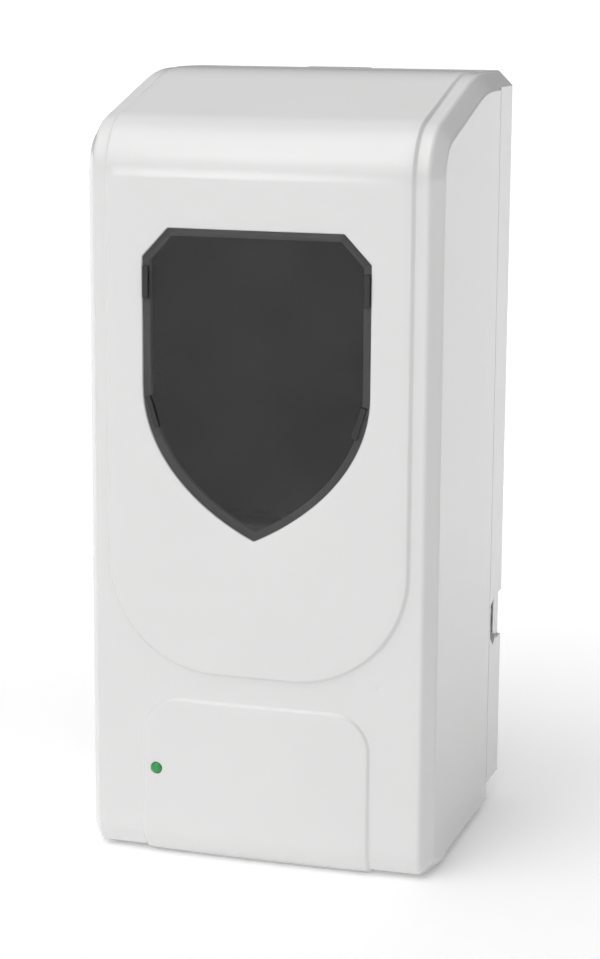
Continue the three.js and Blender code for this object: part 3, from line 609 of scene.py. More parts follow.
def rounded_loop(corners: Sequence[tuple[Flat, float]], steps: int = 5) -> list[Flat]:
    """Returns a closed outline whose corners are rounded.

    Args:
        corners: each corner's point and radius; a radius of 0 keeps the point as it is.
        steps: points on each rounded corner, less one.

    Returns:
        The outline's points.
    """
    outline = []
    count = len(corners)
    for i, (corner, radius) in enumerate(corners):
        if radius == 0:
            outline.append(corner)
            continue
        before = Vector(corners[i - 1][0]) - Vector(corner)
        after = Vector(corners[(i + 1) % count][0]) - Vector(corner)
        before.normalize()
        after.normalize()
        half = before.angle(after) / 2
        centre = Vector(corner) + (before + after).normalized() * (radius / math.sin(half))
        start = Vector(corner) + before * (radius / math.tan(half)) - centre
        end = Vector(corner) + after * (radius / math.tan(half)) - centre
        sweep = start.angle_signed(end)
        for k in range(steps + 1):
            spun = start.copy()
            spun.rotate(Matrix.Rotation(-sweep * k / steps, 2))
            outline.append(tuple(centre + spun))
    return outline


def inset_loop(outline: Sequence[Flat], inset: float) -> list[Flat]:
    """Returns a clockwise outline moved inwards by inset, its corners kept sharp."""
    count = len(outline)
    moved = []
    for i, corner in enumerate(outline):
        into = (Vector(corner) - Vector(outline[i - 1])).normalized()
        onward = (Vector(outline[(i + 1) % count]) - Vector(corner)).normalized()
        inward = (Vector((into.y, -into.x)) + Vector((onward.y, -onward.x))).normalized()
        stretch = inward.dot(Vector((into.y, -into.x)))
        moved.append(tuple(Vector(corner) + inward * (inset / stretch)))
    return moved


# ------------------------------------------------------------------------------------------------ meshes
class Shape:
    """Points and faces of a mesh in the drawing's millimetres."""

    def __init__(self) -> None:
        """Starts empty."""
        self.points: list[Point] = []
        self.faces: list[tuple[int, ...]] = []

    def add(self, points: Iterable[Point]) -> list[int]:
        """Adds points and returns their numbers."""
        first = len(self.points)
        self.points += [tuple(point) for point in points]
        return list(range(first, len(self.points)))

    def bridge(self, lower: Sequence[int], upper: Sequence[int], closed: bool = True) -> None:
        """Joins two rows of points with a band of faces."""
        count = len(lower)
        for i in range(count if closed else count - 1):
            j = (i + 1) % count
            self.faces.append((lower[i], lower[j], upper[j], upper[i]))

    def merge(self, other: "Shape") -> "Shape":
        """Adds another shape's points and faces, and returns this one."""
        first = len(self.points)
        self.points += other.points
        self.faces += [tuple(first + i for i in face) for face in other.faces]
        return self

    def build(self, name: str, smooth_degrees: float = 35.0, fix_normals: bool = True) -> bpy.types.Object:
        """Makes the mesh object in the frame.

        Args:
            name: the piece's name.
            smooth_degrees: edges sharper than this stay crisp.
            fix_normals: whether to turn the faces of closed shells outwards.

        Returns:
            The new object.
        """
        mesh = bpy.data.meshes.new(name)
        mesh.from_pydata([SPACE.metres(point) for point in self.points], [], self.faces)
        if fix_normals:
            grid = bmesh.new()
            grid.from_mesh(mesh)
            bmesh.ops.remove_doubles(grid, verts=grid.verts, dist=1e-7)
            bmesh.ops.recalc_face_normals(grid, faces=grid.faces)
            grid.to_mesh(mesh)
            grid.free()
        return linked(mesh, name, smooth_degrees)


def linked(mesh: bpy.types.Mesh, name: str, smooth_degrees: float) -> bpy.types.Object:
    """Shades a mesh smooth below an angle and puts its object in the scene."""
    mesh.polygons.foreach_set("use_smooth", [True] * len(mesh.polygons))
    mesh.set_sharp_from_angle(angle=math.radians(smooth_degrees))
    made = bpy.data.objects.new(name, mesh)
    bpy.context.scene.collection.objects.link(made)
    return made


def turned(profile: Sequence[Flat], axis: Axis, centre: Point, steps: int = 64, closed: bool = True) -> Shape:
    """Turns a profile round an axis.

    Args:
        profile: [radius, place along the axis] points.
        axis: the axis it is laid along.
        centre: the axis' place, added to every point.
        steps: points in each ring.
        closed: whether the last profile point joins the first.

    Returns:
        The turned shape.
    """
    shape = Shape()
    rings = []
    for radius, along in profile:
        count = 1 if radius == 0 else steps
        ring = []
        for i in range(count):
            angle = 2 * math.pi * i / steps
            spot = [radius * math.cos(angle), radius * math.sin(angle)]
            spot.insert(axis.value, along)
            ring.append(tuple(a + b for a, b in zip(spot, centre)))
        rings.append(shape.add(ring))
    pairs = list(zip(rings, rings[1:])) + ([(rings[-1], rings[0])] if closed else [])
    for lower, upper in pairs:
        if len(lower) == 1 and len(upper) == 1:
            continue
        if len(lower) == 1 or len(upper) == 1:
            pole, ring = (lower[0], upper) if len(lower) == 1 else (upper[0], lower)
            shape.faces += [(pole, ring[i], ring[(i + 1) % steps]) for i in range(steps)]
        else:
            shape.bridge(lower, upper)
    return shape


def rounded_profile(corners: Sequence[tuple[float, float, float]], steps: int = 4) -> list[Flat]:
    """Returns a lathe profile from [radius, along, rounding] corners."""
    return rounded_loop([((radius, along), rounding) for radius, along, rounding in corners], steps)


def slab(x: Flat, y: Flat, z: Flat) -> Shape:
    """Returns a block between two limits on each axis."""
    shape = Shape()
    low = shape.add([(x[0], y[0], z[0]), (x[1], y[0], z[0]), (x[1], y[1], z[0]), (x[0], y[1], z[0])])
    high = shape.add([(x[0], y[0], z[1]), (x[1], y[0], z[1]), (x[1], y[1], z[1]), (x[0], y[1], z[1])])
    shape.bridge(low, high)
    shape.faces += [tuple(reversed(low)), tuple(high)]
    return shape


def prism(outline: Sequence[Flat], y: Flat) -> Shape:
    """Returns an x and z outline pushed along y."""
    shape = Shape()
    front = shape.add([(px, y[0], pz) for px, pz in outline])
    back = shape.add([(px, y[1], pz) for px, pz in outline])
    shape.bridge(front, back)
    shape.faces += [tuple(front), tuple(reversed(back))]
    return shape


def softened(piece: bpy.types.Object, width_mm: float, segments: int = 2, degrees: float = 35.0) -> bpy.types.Object:
    """Rounds a piece's sharp edges with a Bevel modifier and returns the piece."""
    bevel = piece.modifiers.new("edge", "BEVEL")
    bevel.width = width_mm * MM
    bevel.segments = segments
    bevel.limit_method = "ANGLE"
    bevel.angle_limit = math.radians(degrees)
    weighted = piece.modifiers.new("even_shading", "WEIGHTED_NORMAL")
    weighted.keep_sharp = True
    return piece


def evaluated(piece: bpy.types.Object) -> bpy.types.Mesh:
    """Returns the piece's mesh with its modifiers applied."""
    graph = bpy.context.evaluated_depsgraph_get()
    return bpy.data.meshes.new_from_object(piece.evaluated_get(graph), depsgraph=graph)


def cut_away(
    piece: bpy.types.Object, tool: bpy.types.Object, smooth_degrees: float = 35.0, solver: str = "EXACT"
) -> bpy.types.Object:
    """Cuts a closed tool out of a closed piece, removes the tool and returns the new piece."""
    cut = piece.modifiers.new("cut", "BOOLEAN")
    cut.operation = "DIFFERENCE"
    cut.solver = solver
    cut.object = tool
    mesh = evaluated(piece)
    name = piece.name
    bpy.data.objects.remove(tool)
    bpy.data.objects.remove(piece)
    return linked(mesh, name, smooth_degrees)


def copy_of(node: str, name: str, smooth_degrees: float = 35.0) -> bpy.types.Object:
    """Returns a merged copy of a CAD node, with its flat faces whole again."""
    grid = bmesh.new()
    grid.from_mesh(frame["nodes"][node].data)
    bmesh.ops.remove_doubles(grid, verts=grid.verts, dist=2e-6)
    bmesh.ops.dissolve_limit(
        grid, angle_limit=math.radians(0.6), verts=grid.verts, edges=grid.edges, use_dissolve_boundaries=False
    )
    bmesh.ops.triangulate(grid, faces=grid.faces)
    mesh = bpy.data.meshes.new(name)
    grid.to_mesh(mesh)
    grid.free()
    return linked(mesh, name, smooth_degrees)


def dressed(
    piece: bpy.types.Object, finish: object, body: Body, slot: str, replaces: Sequence[str] = ()
) -> bpy.types.Object:
    """Gives a piece its finish and its place in the frame.

    Args:
        piece: the finished object.
        finish: the finish that it wears.
        body: the body that it rides on.
        slot: the record's material slot; not used.
        replaces: the CAD nodes that it stands for.

    Returns:
        The piece.
    """
    piece.data.materials.clear()
    piece.data.materials.append(PALETTE.get(finish))
    if replaces:
        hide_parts(*replaces)
    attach(piece, body.value)
    LOG.info("%s: %d faces on %s", piece.name, len(piece.data.polygons), body.value)
    return piece


# ------------------------------------------------------------------------------------------------ recipes
class Recipe:
    """A Geometry Nodes tree with named inputs, run once and turned into a plain mesh."""

    KINDS = {"float": "NodeSocketFloat", "int": "NodeSocketInt", "object": "NodeSocketObject",
             "material": "NodeSocketMaterial", "vector": "NodeSocketVector", "bool": "NodeSocketBool"}

    def __init__(self, name: str) -> None:
        """Starts a tree that takes and gives geometry."""
        self.name = name
        self.tree = bpy.data.node_groups.new(name, "GeometryNodeTree")
        self.tree.interface.new_socket("Geometry", in_out="INPUT", socket_type="NodeSocketGeometry")
        self.tree.interface.new_socket("Geometry", in_out="OUTPUT", socket_type="NodeSocketGeometry")
        self.identifiers: dict[str, str] = {}
        self.entry = self.tree.nodes.new("NodeGroupInput")
        self.exit = self.tree.nodes.new("NodeGroupOutput")

    def takes(self, name: str, kind: str) -> bpy.types.NodeSocket:
        """Adds a named input and returns its socket inside the tree."""
        item = self.tree.interface.new_socket(name, in_out="INPUT", socket_type=self.KINDS[kind])
        self.identifiers[name] = item.identifier
        return self.entry.outputs[name]

    def node(self, kind: str, settings: Optional[dict] = None, inputs: Optional[dict] = None) -> bpy.types.Node:
        """Adds one node with its settings and its socket values or links, and returns it."""
        made = self.tree.nodes.new(kind)
        for name, value in (settings or {}).items():
            setattr(made, name, value)
        for name, value in (inputs or {}).items():
            if isinstance(value, bpy.types.NodeSocket):
                self.tree.links.new(value, made.inputs[name])
            else:
                made.inputs[name].default_value = value
        return made

    def gives(self, geometry: bpy.types.NodeSocket) -> "Recipe":
        """Ends the tree in Realize Instances and Set Material, and returns the recipe."""
        real = self.node("GeometryNodeRealizeInstances", {}, {"Geometry": geometry})
        painted = self.node(
            "GeometryNodeSetMaterial", {}, {"Geometry": real.outputs[0], "Material": self.takes("Finish", "material")}
        )
        self.tree.links.new(painted.outputs[0], self.exit.inputs[0])
        return self

    def run(self, name: str, base: Optional[bpy.types.Mesh], finish: object, **values: object) -> bpy.types.Object:
        """Runs the tree on a base mesh.

        Args:
            name: the new piece's name.
            base: the mesh that enters the tree, or None.
            finish: the finish set on every face.
            values: the tree's named inputs, with underscores for spaces.

        Returns:
            A plain mesh object.
        """
        host = bpy.data.objects.new(name, base or bpy.data.meshes.new(name))
        bpy.context.scene.collection.objects.link(host)
        modifier = host.modifiers.new(self.name, "NODES")
        modifier.node_group = self.tree
        modifier[self.identifiers["Finish"]] = PALETTE.get(finish)
        for key, value in values.items():
            modifier[self.identifiers[key.replace("_", " ")]] = value
        mesh = evaluated(host)
        bpy.data.objects.remove(host)
        mesh.name = name
        return linked(mesh, name, 40.0)


def coil_recipe() -> Recipe:
    """Returns the recipe of a coil spring that stands on the origin along Z."""
    recipe = Recipe("coil_spring")
    spiral = recipe.node(
        "GeometryNodeCurveSpiral",
        {},
        {
            "Resolution": 28,
            "Rotations": recipe.takes("Turns", "float"),
            "Start Radius": recipe.takes("Foot Radius", "float"),
            "End Radius": recipe.takes("Head Radius", "float"),
            "Height": recipe.takes("Height", "float"),
        },
    )
    wire = recipe.node(
        "GeometryNodeCurvePrimitiveCircle", {}, {"Resolution": 10, "Radius": recipe.takes("Wire Radius", "float")}
    )
    swept = recipe.node(
        "GeometryNodeCurveToMesh",
        {},
        {"Curve": spiral.outputs[0], "Profile Curve": wire.outputs[0], "Fill Caps": True},
    )
    moved = recipe.node(
        "GeometryNodeTransform", {}, {"Geometry": swept.outputs[0], "Translation": recipe.takes("Place", "vector")}
    )
    return recipe.gives(moved.outputs[0])


def scatter_recipe() -> Recipe:
    """Returns the recipe that stands a copy of one shape on every point of the base mesh."""
    recipe = Recipe("copies_on_points")
    source = recipe.node("GeometryNodeObjectInfo", {}, {"Object": recipe.takes("Shape", "object")})
    copies = recipe.node(
        "GeometryNodeInstanceOnPoints",
        {},
        {"Points": recipe.entry.outputs["Geometry"], "Instance": source.outputs["Geometry"]},
    )
    return recipe.gives(copies.outputs[0])


def round_recipe() -> Recipe:
    """Returns the recipe that stands copies of one shape round a circle, each turned to face out."""
    recipe = Recipe("copies_round_a_circle")
    circle = recipe.node(
        "GeometryNodeMeshCircle", {}, {"Vertices": recipe.takes("Count", "int"), "Radius": recipe.takes("Radius", "float")}
    )
    spot = recipe.node("GeometryNodeInputPosition")
    facing = recipe.node(
        "FunctionNodeAlignRotationToVector", {"axis": "X", "pivot_axis": "Z"}, {"Vector": spot.outputs[0]}
    )
    source = recipe.node("GeometryNodeObjectInfo", {}, {"Object": recipe.takes("Shape", "object")})
    copies = recipe.node(
        "GeometryNodeInstanceOnPoints",
        {},
        {"Points": circle.outputs[0], "Instance": source.outputs["Geometry"], "Rotation": facing.outputs[0]},
    )
    moved = recipe.node(
        "GeometryNodeTransform", {}, {"Geometry": copies.outputs[0], "Translation": recipe.takes("Place", "vector")}
    )
    return recipe.gives(moved.outputs[0])


def sweep_recipe() -> Recipe:
    """Returns the recipe that draws a round tube along one smooth curve through the base mesh's points."""
    recipe = Recipe("tube_through_points")
    route = recipe.node("GeometryNodeMeshToCurve", {}, {"Mesh": recipe.entry.outputs["Geometry"]})
    smooth = recipe.node("GeometryNodeCurveSplineType", {"spline_type": "CATMULL_ROM"}, {"Curve": route.outputs[0]})
    fine = recipe.node("GeometryNodeSetSplineResolution", {}, {"Geometry": smooth.outputs[0], "Resolution": 7})
    section = recipe.node(
        "GeometryNodeCurvePrimitiveCircle", {}, {"Resolution": 24, "Radius": recipe.takes("Radius", "float")}
    )
    swept = recipe.node(
        "GeometryNodeCurveToMesh",
        {},
        {"Curve": fine.outputs[0], "Profile Curve": section.outputs[0], "Fill Caps": recipe.takes("Closed Ends", "bool")},
    )
    return recipe.gives(swept.outputs[0])


def route_mesh(places: Sequence[Point]) -> bpy.types.Mesh:
    """Returns a mesh of points joined in a row."""
    mesh = bpy.data.meshes.new("route")
    mesh.from_pydata([SPACE.metres(place) for place in places], [(i, i + 1) for i in range(len(places) - 1)], [])
    return mesh


def point_mesh(places: Iterable[Point]) -> bpy.types.Mesh:
    """Returns a mesh of loose points."""
    mesh = bpy.data.meshes.new("places")
    mesh.from_pydata([SPACE.metres(place) for place in places], [], [])
    return mesh


def loose_shape(shape: Shape, name: str) -> bpy.types.Object:
    """Returns a shape as an object at the frame's origin, for copying by a recipe."""
    mesh = bpy.data.meshes.new(name)
    mesh.from_pydata([Vector(point) * MM for point in shape.points], [], shape.faces)
    grid = bmesh.new()
    grid.from_mesh(mesh)
    bmesh.ops.recalc_face_normals(grid, faces=grid.faces)
    grid.to_mesh(mesh)
    grid.free()
    return linked(mesh, name, 35.0)


# ------------------------------------------------------------------------------------------------ cover
@dataclass
class RaisedPanel:
    """A raised field on the cover: a rounded rectangle that stays open at one end."""

    half: float
    end: float
    corner: float
    lift: float
    step: float
    way: int

    def inside(self, across: float, height: float) -> float:
        """Returns how far a spot lies inside the panel's edge, negative outside."""
        over = abs(across) - (self.half - self.corner)
        along = self.corner - (height - self.end) * self.way
        if over > 0 and along > 0:
            return self.corner - math.hypot(over, along)
        return self.corner - max(over, along)

    def height(self, inside: float) -> float:
        """Returns the panel's lift at a distance inside its edge, on a soft step."""
        share = min(1.0, max(0.0, inside / self.step + 0.5))
        return self.lift * share * share * (3 - 2 * share)

    def edge(self, inset: float, far: float, spacing: float) -> list[Flat]:
        """Returns the panel's edge moved inwards, from one open end round to the other.

        Args:
            inset: how far inwards, negative for outwards.
            far: the height of its two open ends.
            spacing: the longest gap between points on its straight sides.

        Returns:
            [across, height] points.
        """
        half = self.half - inset
        corner = self.corner - inset
        end = self.end + inset * self.way
        turn = end + corner * self.way
        count = max(2, math.ceil(abs(far - turn) / spacing))
        side = [(half, far + (turn - far) * i / count) for i in range(count)]
        bend = [
            (half - corner + corner * math.cos(angle), turn - self.way * corner * math.sin(angle))
            for angle in (math.pi / 2 * i / 22 for i in range(23))
        ]
        flat = 2 * (half - corner)
        cells = max(2, math.ceil(flat / spacing))
        middle = [(half - corner - flat * i / cells, end) for i in range(1, cells)]
        right = side + bend
        return right + middle + [(-x, z) for x, z in reversed(right)]


@dataclass
class ShieldOpening:
    """The shield-shaped opening for the window, its seat and the places and bars of the window's hooks."""

    top: float = 219.6
    top_half: float = 30.6
    half: float = 39.8
    shoulder: float = 209.8
    waist: float = 166.5
    tip: float = 115.2
    ledge: float = 2.6
    corner: float = 1.0

    def corners(self) -> list[tuple[Flat, float]]:
        """Returns the clockwise outline with a rounding for each real corner."""
        sweep = []
        steps = 30
        handles = ((self.half, self.waist), (self.half, self.waist - 23), (22.0, self.tip + 10.3), (0.0, self.tip))
        for i in range(1, steps):
            t = i / steps
            weights = ((1 - t) ** 3, 3 * t * (1 - t) ** 2, 3 * t * t * (1 - t), t**3)
            sweep.append(tuple(sum(w * p[k] for w, p in zip(weights, handles)) for k in (0, 1)))
        side = [(self.half, self.shoulder + (self.waist - self.shoulder) * i / 16) for i in range(1, 17)]
        crown = [(self.top_half * (1 - 2 * i / 24), self.top) for i in range(23, 0, -1)]
        right = [((self.top_half, self.top), self.corner), ((self.half, self.shoulder), self.corner)]
        right += [(point, 0.0) for point in side + sweep]
        left = [((-x, z), radius) for (x, z), radius in reversed(right)]
        return [(point, 0.0) for point in crown] + right + [((0.0, self.tip), self.corner)] + left

    def outline(self, inset: float) -> list[Flat]:
        """Returns the outline moved inwards, always with the same number of points."""
        corners = self.corners()
        moved = inset_loop([point for point, _ in corners], inset)
        return rounded_loop([(point, radius) for point, (_, radius) in zip(moved, corners)])

    def hooks(self) -> list[tuple[float, float, float]]:
        """Returns [x, z, lean] of the four snap hooks."""
        upper = (self.half - self.ledge / 2, 201.2, 0.0)
        lower = (36.2, 157.4, 0.31)
        return [(side * x, z, side * lean) for side in (-1, 1) for x, z, lean in (upper, lower)]

    def bars(self, y: Flat) -> Shape:
        """Returns the four hook bars."""
        shape = Shape()
        for x, z, lean in self.hooks():
            bar = slab((-1.0, 1.0), y, (-5.5, 5.5))
            turn = Matrix.Rotation(lean, 3, "Y")
            bar.points = [tuple(turn @ Vector(point) + Vector((x, 0, z))) for point in bar.points]
            shape.merge(bar)
        return shape


@dataclass
class CoverShell:
    """The hinged front cover as one moulded shell."""

    half_width: float = field(default_factory=lambda: node_box("front_cover")[1].x)
    front: float = field(default_factory=lambda: node_box("front_cover")[0].y + 1.2)
    top: float = 269.3
    seam: float = -18.3
    wall: float = 2.5
    lip_radius: float = 10.0
    lip_turn: float = math.radians(70)
    bend_radius: float = 20.0
    bend_start: float = 235.7
    roof_slope: float = math.radians(16.5)
    roof_level_start: float = -30.0
    bow_radius: float = 793.0
    facet_across: float = 3.9
    facet_back: float = 5.72
    side_bottom: float = 3.5
    light: Flat = (-35.8, 31.7)
    light_radius: float = 2.05
    dimple: Flat = (43.6, 67.6)
    shield: ShieldOpening = field(default_factory=ShieldOpening)
    upper: RaisedPanel = field(default_factory=lambda: RaisedPanel(53.3, 67.4, 39.4, 1.2, 1.5, 1))
    lower: RaisedPanel = field(default_factory=lambda: RaisedPanel(40.4, 57.2, 13.0, 0.8, 1.3, -1))

    def __post_init__(self) -> None:
        """Lays out the side profile and the rounded rim."""
        foot = 30.0
        low = self.lip_radius - self.lip_radius * math.tan(self.lip_turn / 2)
        foot_start = (self.front + foot * math.sin(self.lip_turn), low - foot * math.cos(self.lip_turn))
        slope_y = self.front + self.bend_radius * (1 - math.sin(self.roof_slope))
        slope_z = self.bend_start + self.bend_radius * math.cos(self.roof_slope)
        rise = math.tan(self.roof_slope)
        brow = (self.front, slope_z - (slope_y - self.front) * rise)
        crest = (slope_y + (self.top - slope_z) / rise, self.top)
        cut = self.roof_level_start - crest[0]
        self.side = Line([
            (foot_start, 0.0),
            ((self.front, low), self.lip_radius),
            (brow, self.bend_radius),
            (crest, cut / math.tan(self.roof_slope / 2)),
            ((self.seam, self.top), 0.0),
        ])
        edge = self.half_width - self.facet_across
        self.rim = Line([
            ((0.0, 0.0), 0.0),
            ((edge, 0.0), 2.0),
            ((self.half_width, -self.facet_back), 2.4),
            ((self.half_width, -self.facet_back - 3.2), 0.0),
        ])
        self.front_start = self.side.stretches[2].start - self.lip_radius
        self.bend_end = self.side.stretches[4].start

    def height_of(self, along: float) -> float:
        """Returns the height on the front that a distance along the side profile stands for."""
        return along - self.front_start

    def along(self, height: float) -> float:
        """Returns the distance along the side profile at a height on the front."""
        return height + self.front_start

    def lift(self, across: float, along: float) -> float:
        """Returns how far the surface stands above the plain shell."""
        height = self.height_of(along)
        roof = max(0.0, (along - self.bend_end) / (self.side.length - self.bend_end))
        raised = self.upper.height(self.upper.inside(across, height)) * (1 - 0.55 * roof)
        raised += self.lower.height(self.lower.inside(across, height))
        far = math.hypot(across - self.dimple[0], height - self.dimple[1])
        return raised - 0.35 * max(0.0, 1 - far / 1.3)

    def surface(self, across: float, along: float, lift: float = 0.0) -> Vector:
        """Returns a point of the outside.

        Args:
            across: distance from the middle, along the front, the cut edge and the side.
            along: distance along the side profile.
            lift: height above the plain shell.

        Returns:
            The point in the drawing.
        """
        (y, z), (ny, nz) = self.side.at(along)
        (x, depth), _ = self.rim.at(abs(across))
        bow = x * x / (2 * self.bow_radius)
        if along > self.front_start:
            bow *= min(1.0, max(0.0, (-ny - math.sin(self.roof_slope)) / (1 - math.sin(self.roof_slope))))
        out = lift + depth
        return Vector((math.copysign(x, across), y + ny * out + bow, z + nz * out))

    def inner(self, across: float, along: float) -> Vector:
        """Returns the point of the inside behind a spot on the outside."""
        small = 0.05
        sideways = self.surface(across + small, along) - self.surface(across - small, along)
        upwards = self.surface(across, along + small) - self.surface(across, along - small)
        normal = sideways.cross(upwards).normalized()
        if abs(normal.x) > 0.9:
            normal = Vector((math.copysign(1.0, across), 0.0, 0.0))
        return self.surface(across, along) - normal * self.wall

    def ring(self, centre: Flat, radius: float, steps: int = 40) -> list[Flat]:
        """Returns a circle on the front as [across, height]."""
        angles = (2 * math.pi * i / steps for i in range(steps))
        return [(centre[0] + radius * math.cos(a), centre[1] + radius * math.sin(a)) for a in angles]

    def field_points(self) -> tuple[list[Flat], list[tuple[int, int]], list[float], list[float]]:
        """Returns the unrolled points, the edges that must be kept, and the rows and columns of the grid."""
        points: list[Flat] = []
        edges: list[tuple[int, int]] = []
        close_to: list[Flat] = []

        def keep(outline: Sequence[Flat], closed: bool) -> None:
            first = len(points)
            points.extend(outline)
            close_to.extend(outline)
            count = len(outline)
            edges.extend((first + i, first + (i + 1) % count) for i in range(count if closed else count - 1))

        far_up = self.side.length - self.front_start
        far_down = -self.front_start
        for panel, far in ((self.upper, far_up), (self.lower, far_down)):
            for share in (-0.5, -0.38, -0.25, -0.12, 0.0, 0.12, 0.25, 0.38, 0.5):
                keep(panel.edge(share * panel.step, far, 2.5), False)
        keep(self.shield.outline(-0.5), True)
        keep(self.ring(self.light, self.light_radius + 0.5), True)
        for radius in (0.5, 0.9, 1.3):
            keep(self.ring(self.dimple, radius, 16), True)
        rows = self.side.stations(2.5, 4.0)
        flat = self.rim.stretches[0].length
        cells = 46
        columns = [flat * (2 * i / cells - 1) for i in range(cells + 1)]
        edge = [place for place in self.rim.stations(1.4, 7.0) if place > flat + 1e-6]
        columns = [-place for place in reversed(edge)] + columns + edge
        tree = KDTree(len(close_to))
        for i, (x, z) in enumerate(close_to):
            tree.insert((x, z, 0.0), i)
        tree.balance()
        wide = {columns[0], columns[-1]}
        for along in rows:
            height = self.height_of(along)
            for across in columns:
                on_border = across in wide or along in (rows[0], rows[-1])
                near_panel = min(abs(self.upper.inside(across, height)), abs(self.lower.inside(across, height)))
                if not on_border and (near_panel < 1.6 or tree.find((across, height, 0.0))[2] < 1.1):
                    continue
                points.append((across, height))
        return points, edges, rows, columns

    def shell(self) -> Shape:
        """Returns the closed shell, still too long at the back and at the bottom."""
        points, edges, rows, columns = self.field_points()
        found, _, triangles, _, _, _ = delaunay_2d_cdt([Vector(p) for p in points], edges, [], 0, 1e-5)
        hole = self.shield.outline(-0.5)
        shape = Shape()
        spots = [(p.x, self.along(p.y)) for p in found]
        outer = shape.add(self.surface(a, s, self.lift(a, s)) for a, s in spots)
        inner = shape.add(self.inner(a, s) for a, s in spots)
        for triangle in triangles:
            middle = sum((found[i] for i in triangle), Vector((0.0, 0.0))) / 3
            in_light = (middle - Vector(self.light)).length < self.light_radius + 0.5
            if in_light or inside_loop(middle, hole):
                continue
            shape.faces.append(tuple(outer[i] for i in triangle))
            shape.faces.append(tuple(inner[i] for i in reversed(triangle)))
        near = KDTree(len(found))
        for i, p in enumerate(found):
            near.insert((p.x, p.y, 0.0), i)
        near.balance()

        def numbers(outline: Iterable[Flat]) -> list[int]:
            return [near.find((x, z, 0.0))[1] for x, z in outline]

        self._line_window(shape, outer, inner, numbers(hole))
        self._line_light(shape, outer, inner, numbers(self.ring(self.light, self.light_radius + 0.5)))
        self._close_sides(shape, outer, inner, found, rows, columns)
        return shape

    def _line_window(self, shape: Shape, outer: list[int], inner: list[int], hole: list[int]) -> None:
        """Adds the rounded mouth, the wall and the seat of the window opening."""
        rows = [[outer[i] for i in hole]]
        for inset, sink in ((-0.3, 0.05), (-0.15, 0.18), (-0.08, 0.36)):
            spots = [(x, self.along(z)) for x, z in self.shield.outline(inset)]
            rows.append(shape.add(self.surface(a, s, self.lift(a, s) - sink) for a, s in spots))
        seat = self.front - self.upper.lift + 1.7
        back = self.front + self.wall
        rows.append(shape.add((x, seat, z) for x, z in self.shield.outline(-0.08)))
        rows.append(shape.add((x, seat, z) for x, z in self.shield.outline(self.shield.ledge)))
        rows.append(shape.add((x, back, z) for x, z in self.shield.outline(self.shield.ledge)))
        rows.append([inner[i] for i in hole])
        for lower, upper in zip(rows, rows[1:]):
            shape.bridge(lower, upper)

    def _line_light(self, shape: Shape, outer: list[int], inner: list[int], hole: list[int]) -> None:
        """Adds the rounded mouth and the wall of the light hole."""
        rows = [[outer[i] for i in hole]]
        for extra, sink in ((0.22, 0.06), (0.06, 0.2), (0.0, 0.45), (0.0, 3.3)):
            spots = [(x, self.along(z)) for x, z in self.ring(self.light, self.light_radius + extra)]
            rows.append(shape.add(self.surface(a, s, self.lift(a, s) - sink) for a, s in spots))
        rows.append([inner[i] for i in hole])
        for lower, upper in zip(rows, rows[1:]):
            shape.bridge(lower, upper)

    def _close_sides(
        self, shape: Shape, outer: list[int], inner: list[int], found: list[Vector], rows: list[float],
        columns: list[float]
    ) -> None:
        """Adds the two flat sides and joins the outside to the inside round the open edge."""

        def along_edge(part: int, level: float) -> list[int]:
            near = [i for i, spot in enumerate(found) if abs(spot[part] - level) < 1e-3]
            return sorted(near, key=lambda i: found[i][1 - part])

        below = -14.0
        right_edge, left_edge = along_edge(0, columns[-1]), along_edge(0, columns[0])
        foot_edge = along_edge(1, self.height_of(rows[0]))
        roof_edge = along_edge(1, self.height_of(rows[-1]))
        loops = []
        for skin, level in ((outer, 0.0), (inner, self.wall)):
            x = self.half_width - level
            right_low, left_low = shape.add([(x, self.seam, below), (-x, self.seam, below)])
            cap_loop(shape, [*(skin[i] for i in right_edge), right_low], x, 7.0)
            cap_loop(shape, [*(skin[i] for i in left_edge), left_low], -x, 7.0)
            foot, roof = [skin[i] for i in foot_edge], [skin[i] for i in roof_edge]
            loops.append([*foot, right_low, *reversed(roof), left_low])
        shape.bridge(*loops)

    def cutter(self) -> Shape:
        """Returns the block that trims the sloping bottom edge and the back of the lip."""
        outline = [
            (30.0, self.side_bottom), (30.0, -60.0), (-140.0, -60.0), (-140.0, 0.0),
            (-92.0, 0.0), (-76.0, self.side_bottom),
        ]
        shape = Shape()
        left = shape.add((-90.0, y, z) for y, z in outline)
        right = shape.add((90.0, y, z) for y, z in outline)
        shape.bridge(left, right)
        shape.faces += [tuple(left), tuple(reversed(right))]
        return shape

    def fittings(self) -> Shape:
        """Returns what is moulded inside the cover: hinge bosses, latch rib and stiffening ribs."""
        hinge_y, hinge_z = -19.8, 5.2
        shape = Shape()
        for side in (-1, 1):
            boss = [(1.65, -2.2), (3.4, -2.2), (3.4, 2.2), (1.65, 2.2)]
            shape.merge(turned(boss, Axis.X, (side * 56.8, hinge_y, hinge_z), 40))
            inner, outer = sorted((side * 58.4, side * 60.2))
            shape.merge(slab((inner, outer), (hinge_y - 5.2, self.seam - 0.2), (self.side_bottom + 0.2, 9.5)))
        shape.merge(slab((-11, 11), (-25.6, -23.4), (261.6, 267.6)))
        for x in (-24, 24):
            shape.merge(slab((x - 0.6, x + 0.6), (self.front + 2.2, self.front + 4.0), (14, 108)))
        for x in (-11, 0, 11):
            shape.merge(slab((x - 0.5, x + 0.5), (-25.6, -21.0), (264.4, 267.4)))
        return shape

    def build(self) -> None:
        """Builds and dresses the cover."""
        shell = self.shell().build("cover_shell", 38.0)
        cover = cut_away(shell, self.cutter().build("cover_trim"), 38.0, "FAST")
        dressed(cover, Palette.SHELL, Body.COVER, "shell_white", ["front_cover"])
        inside = softened(self.fittings().build("cover_fittings"), 0.3)
        dressed(inside, Palette.SHELL, Body.COVER, "shell_white")


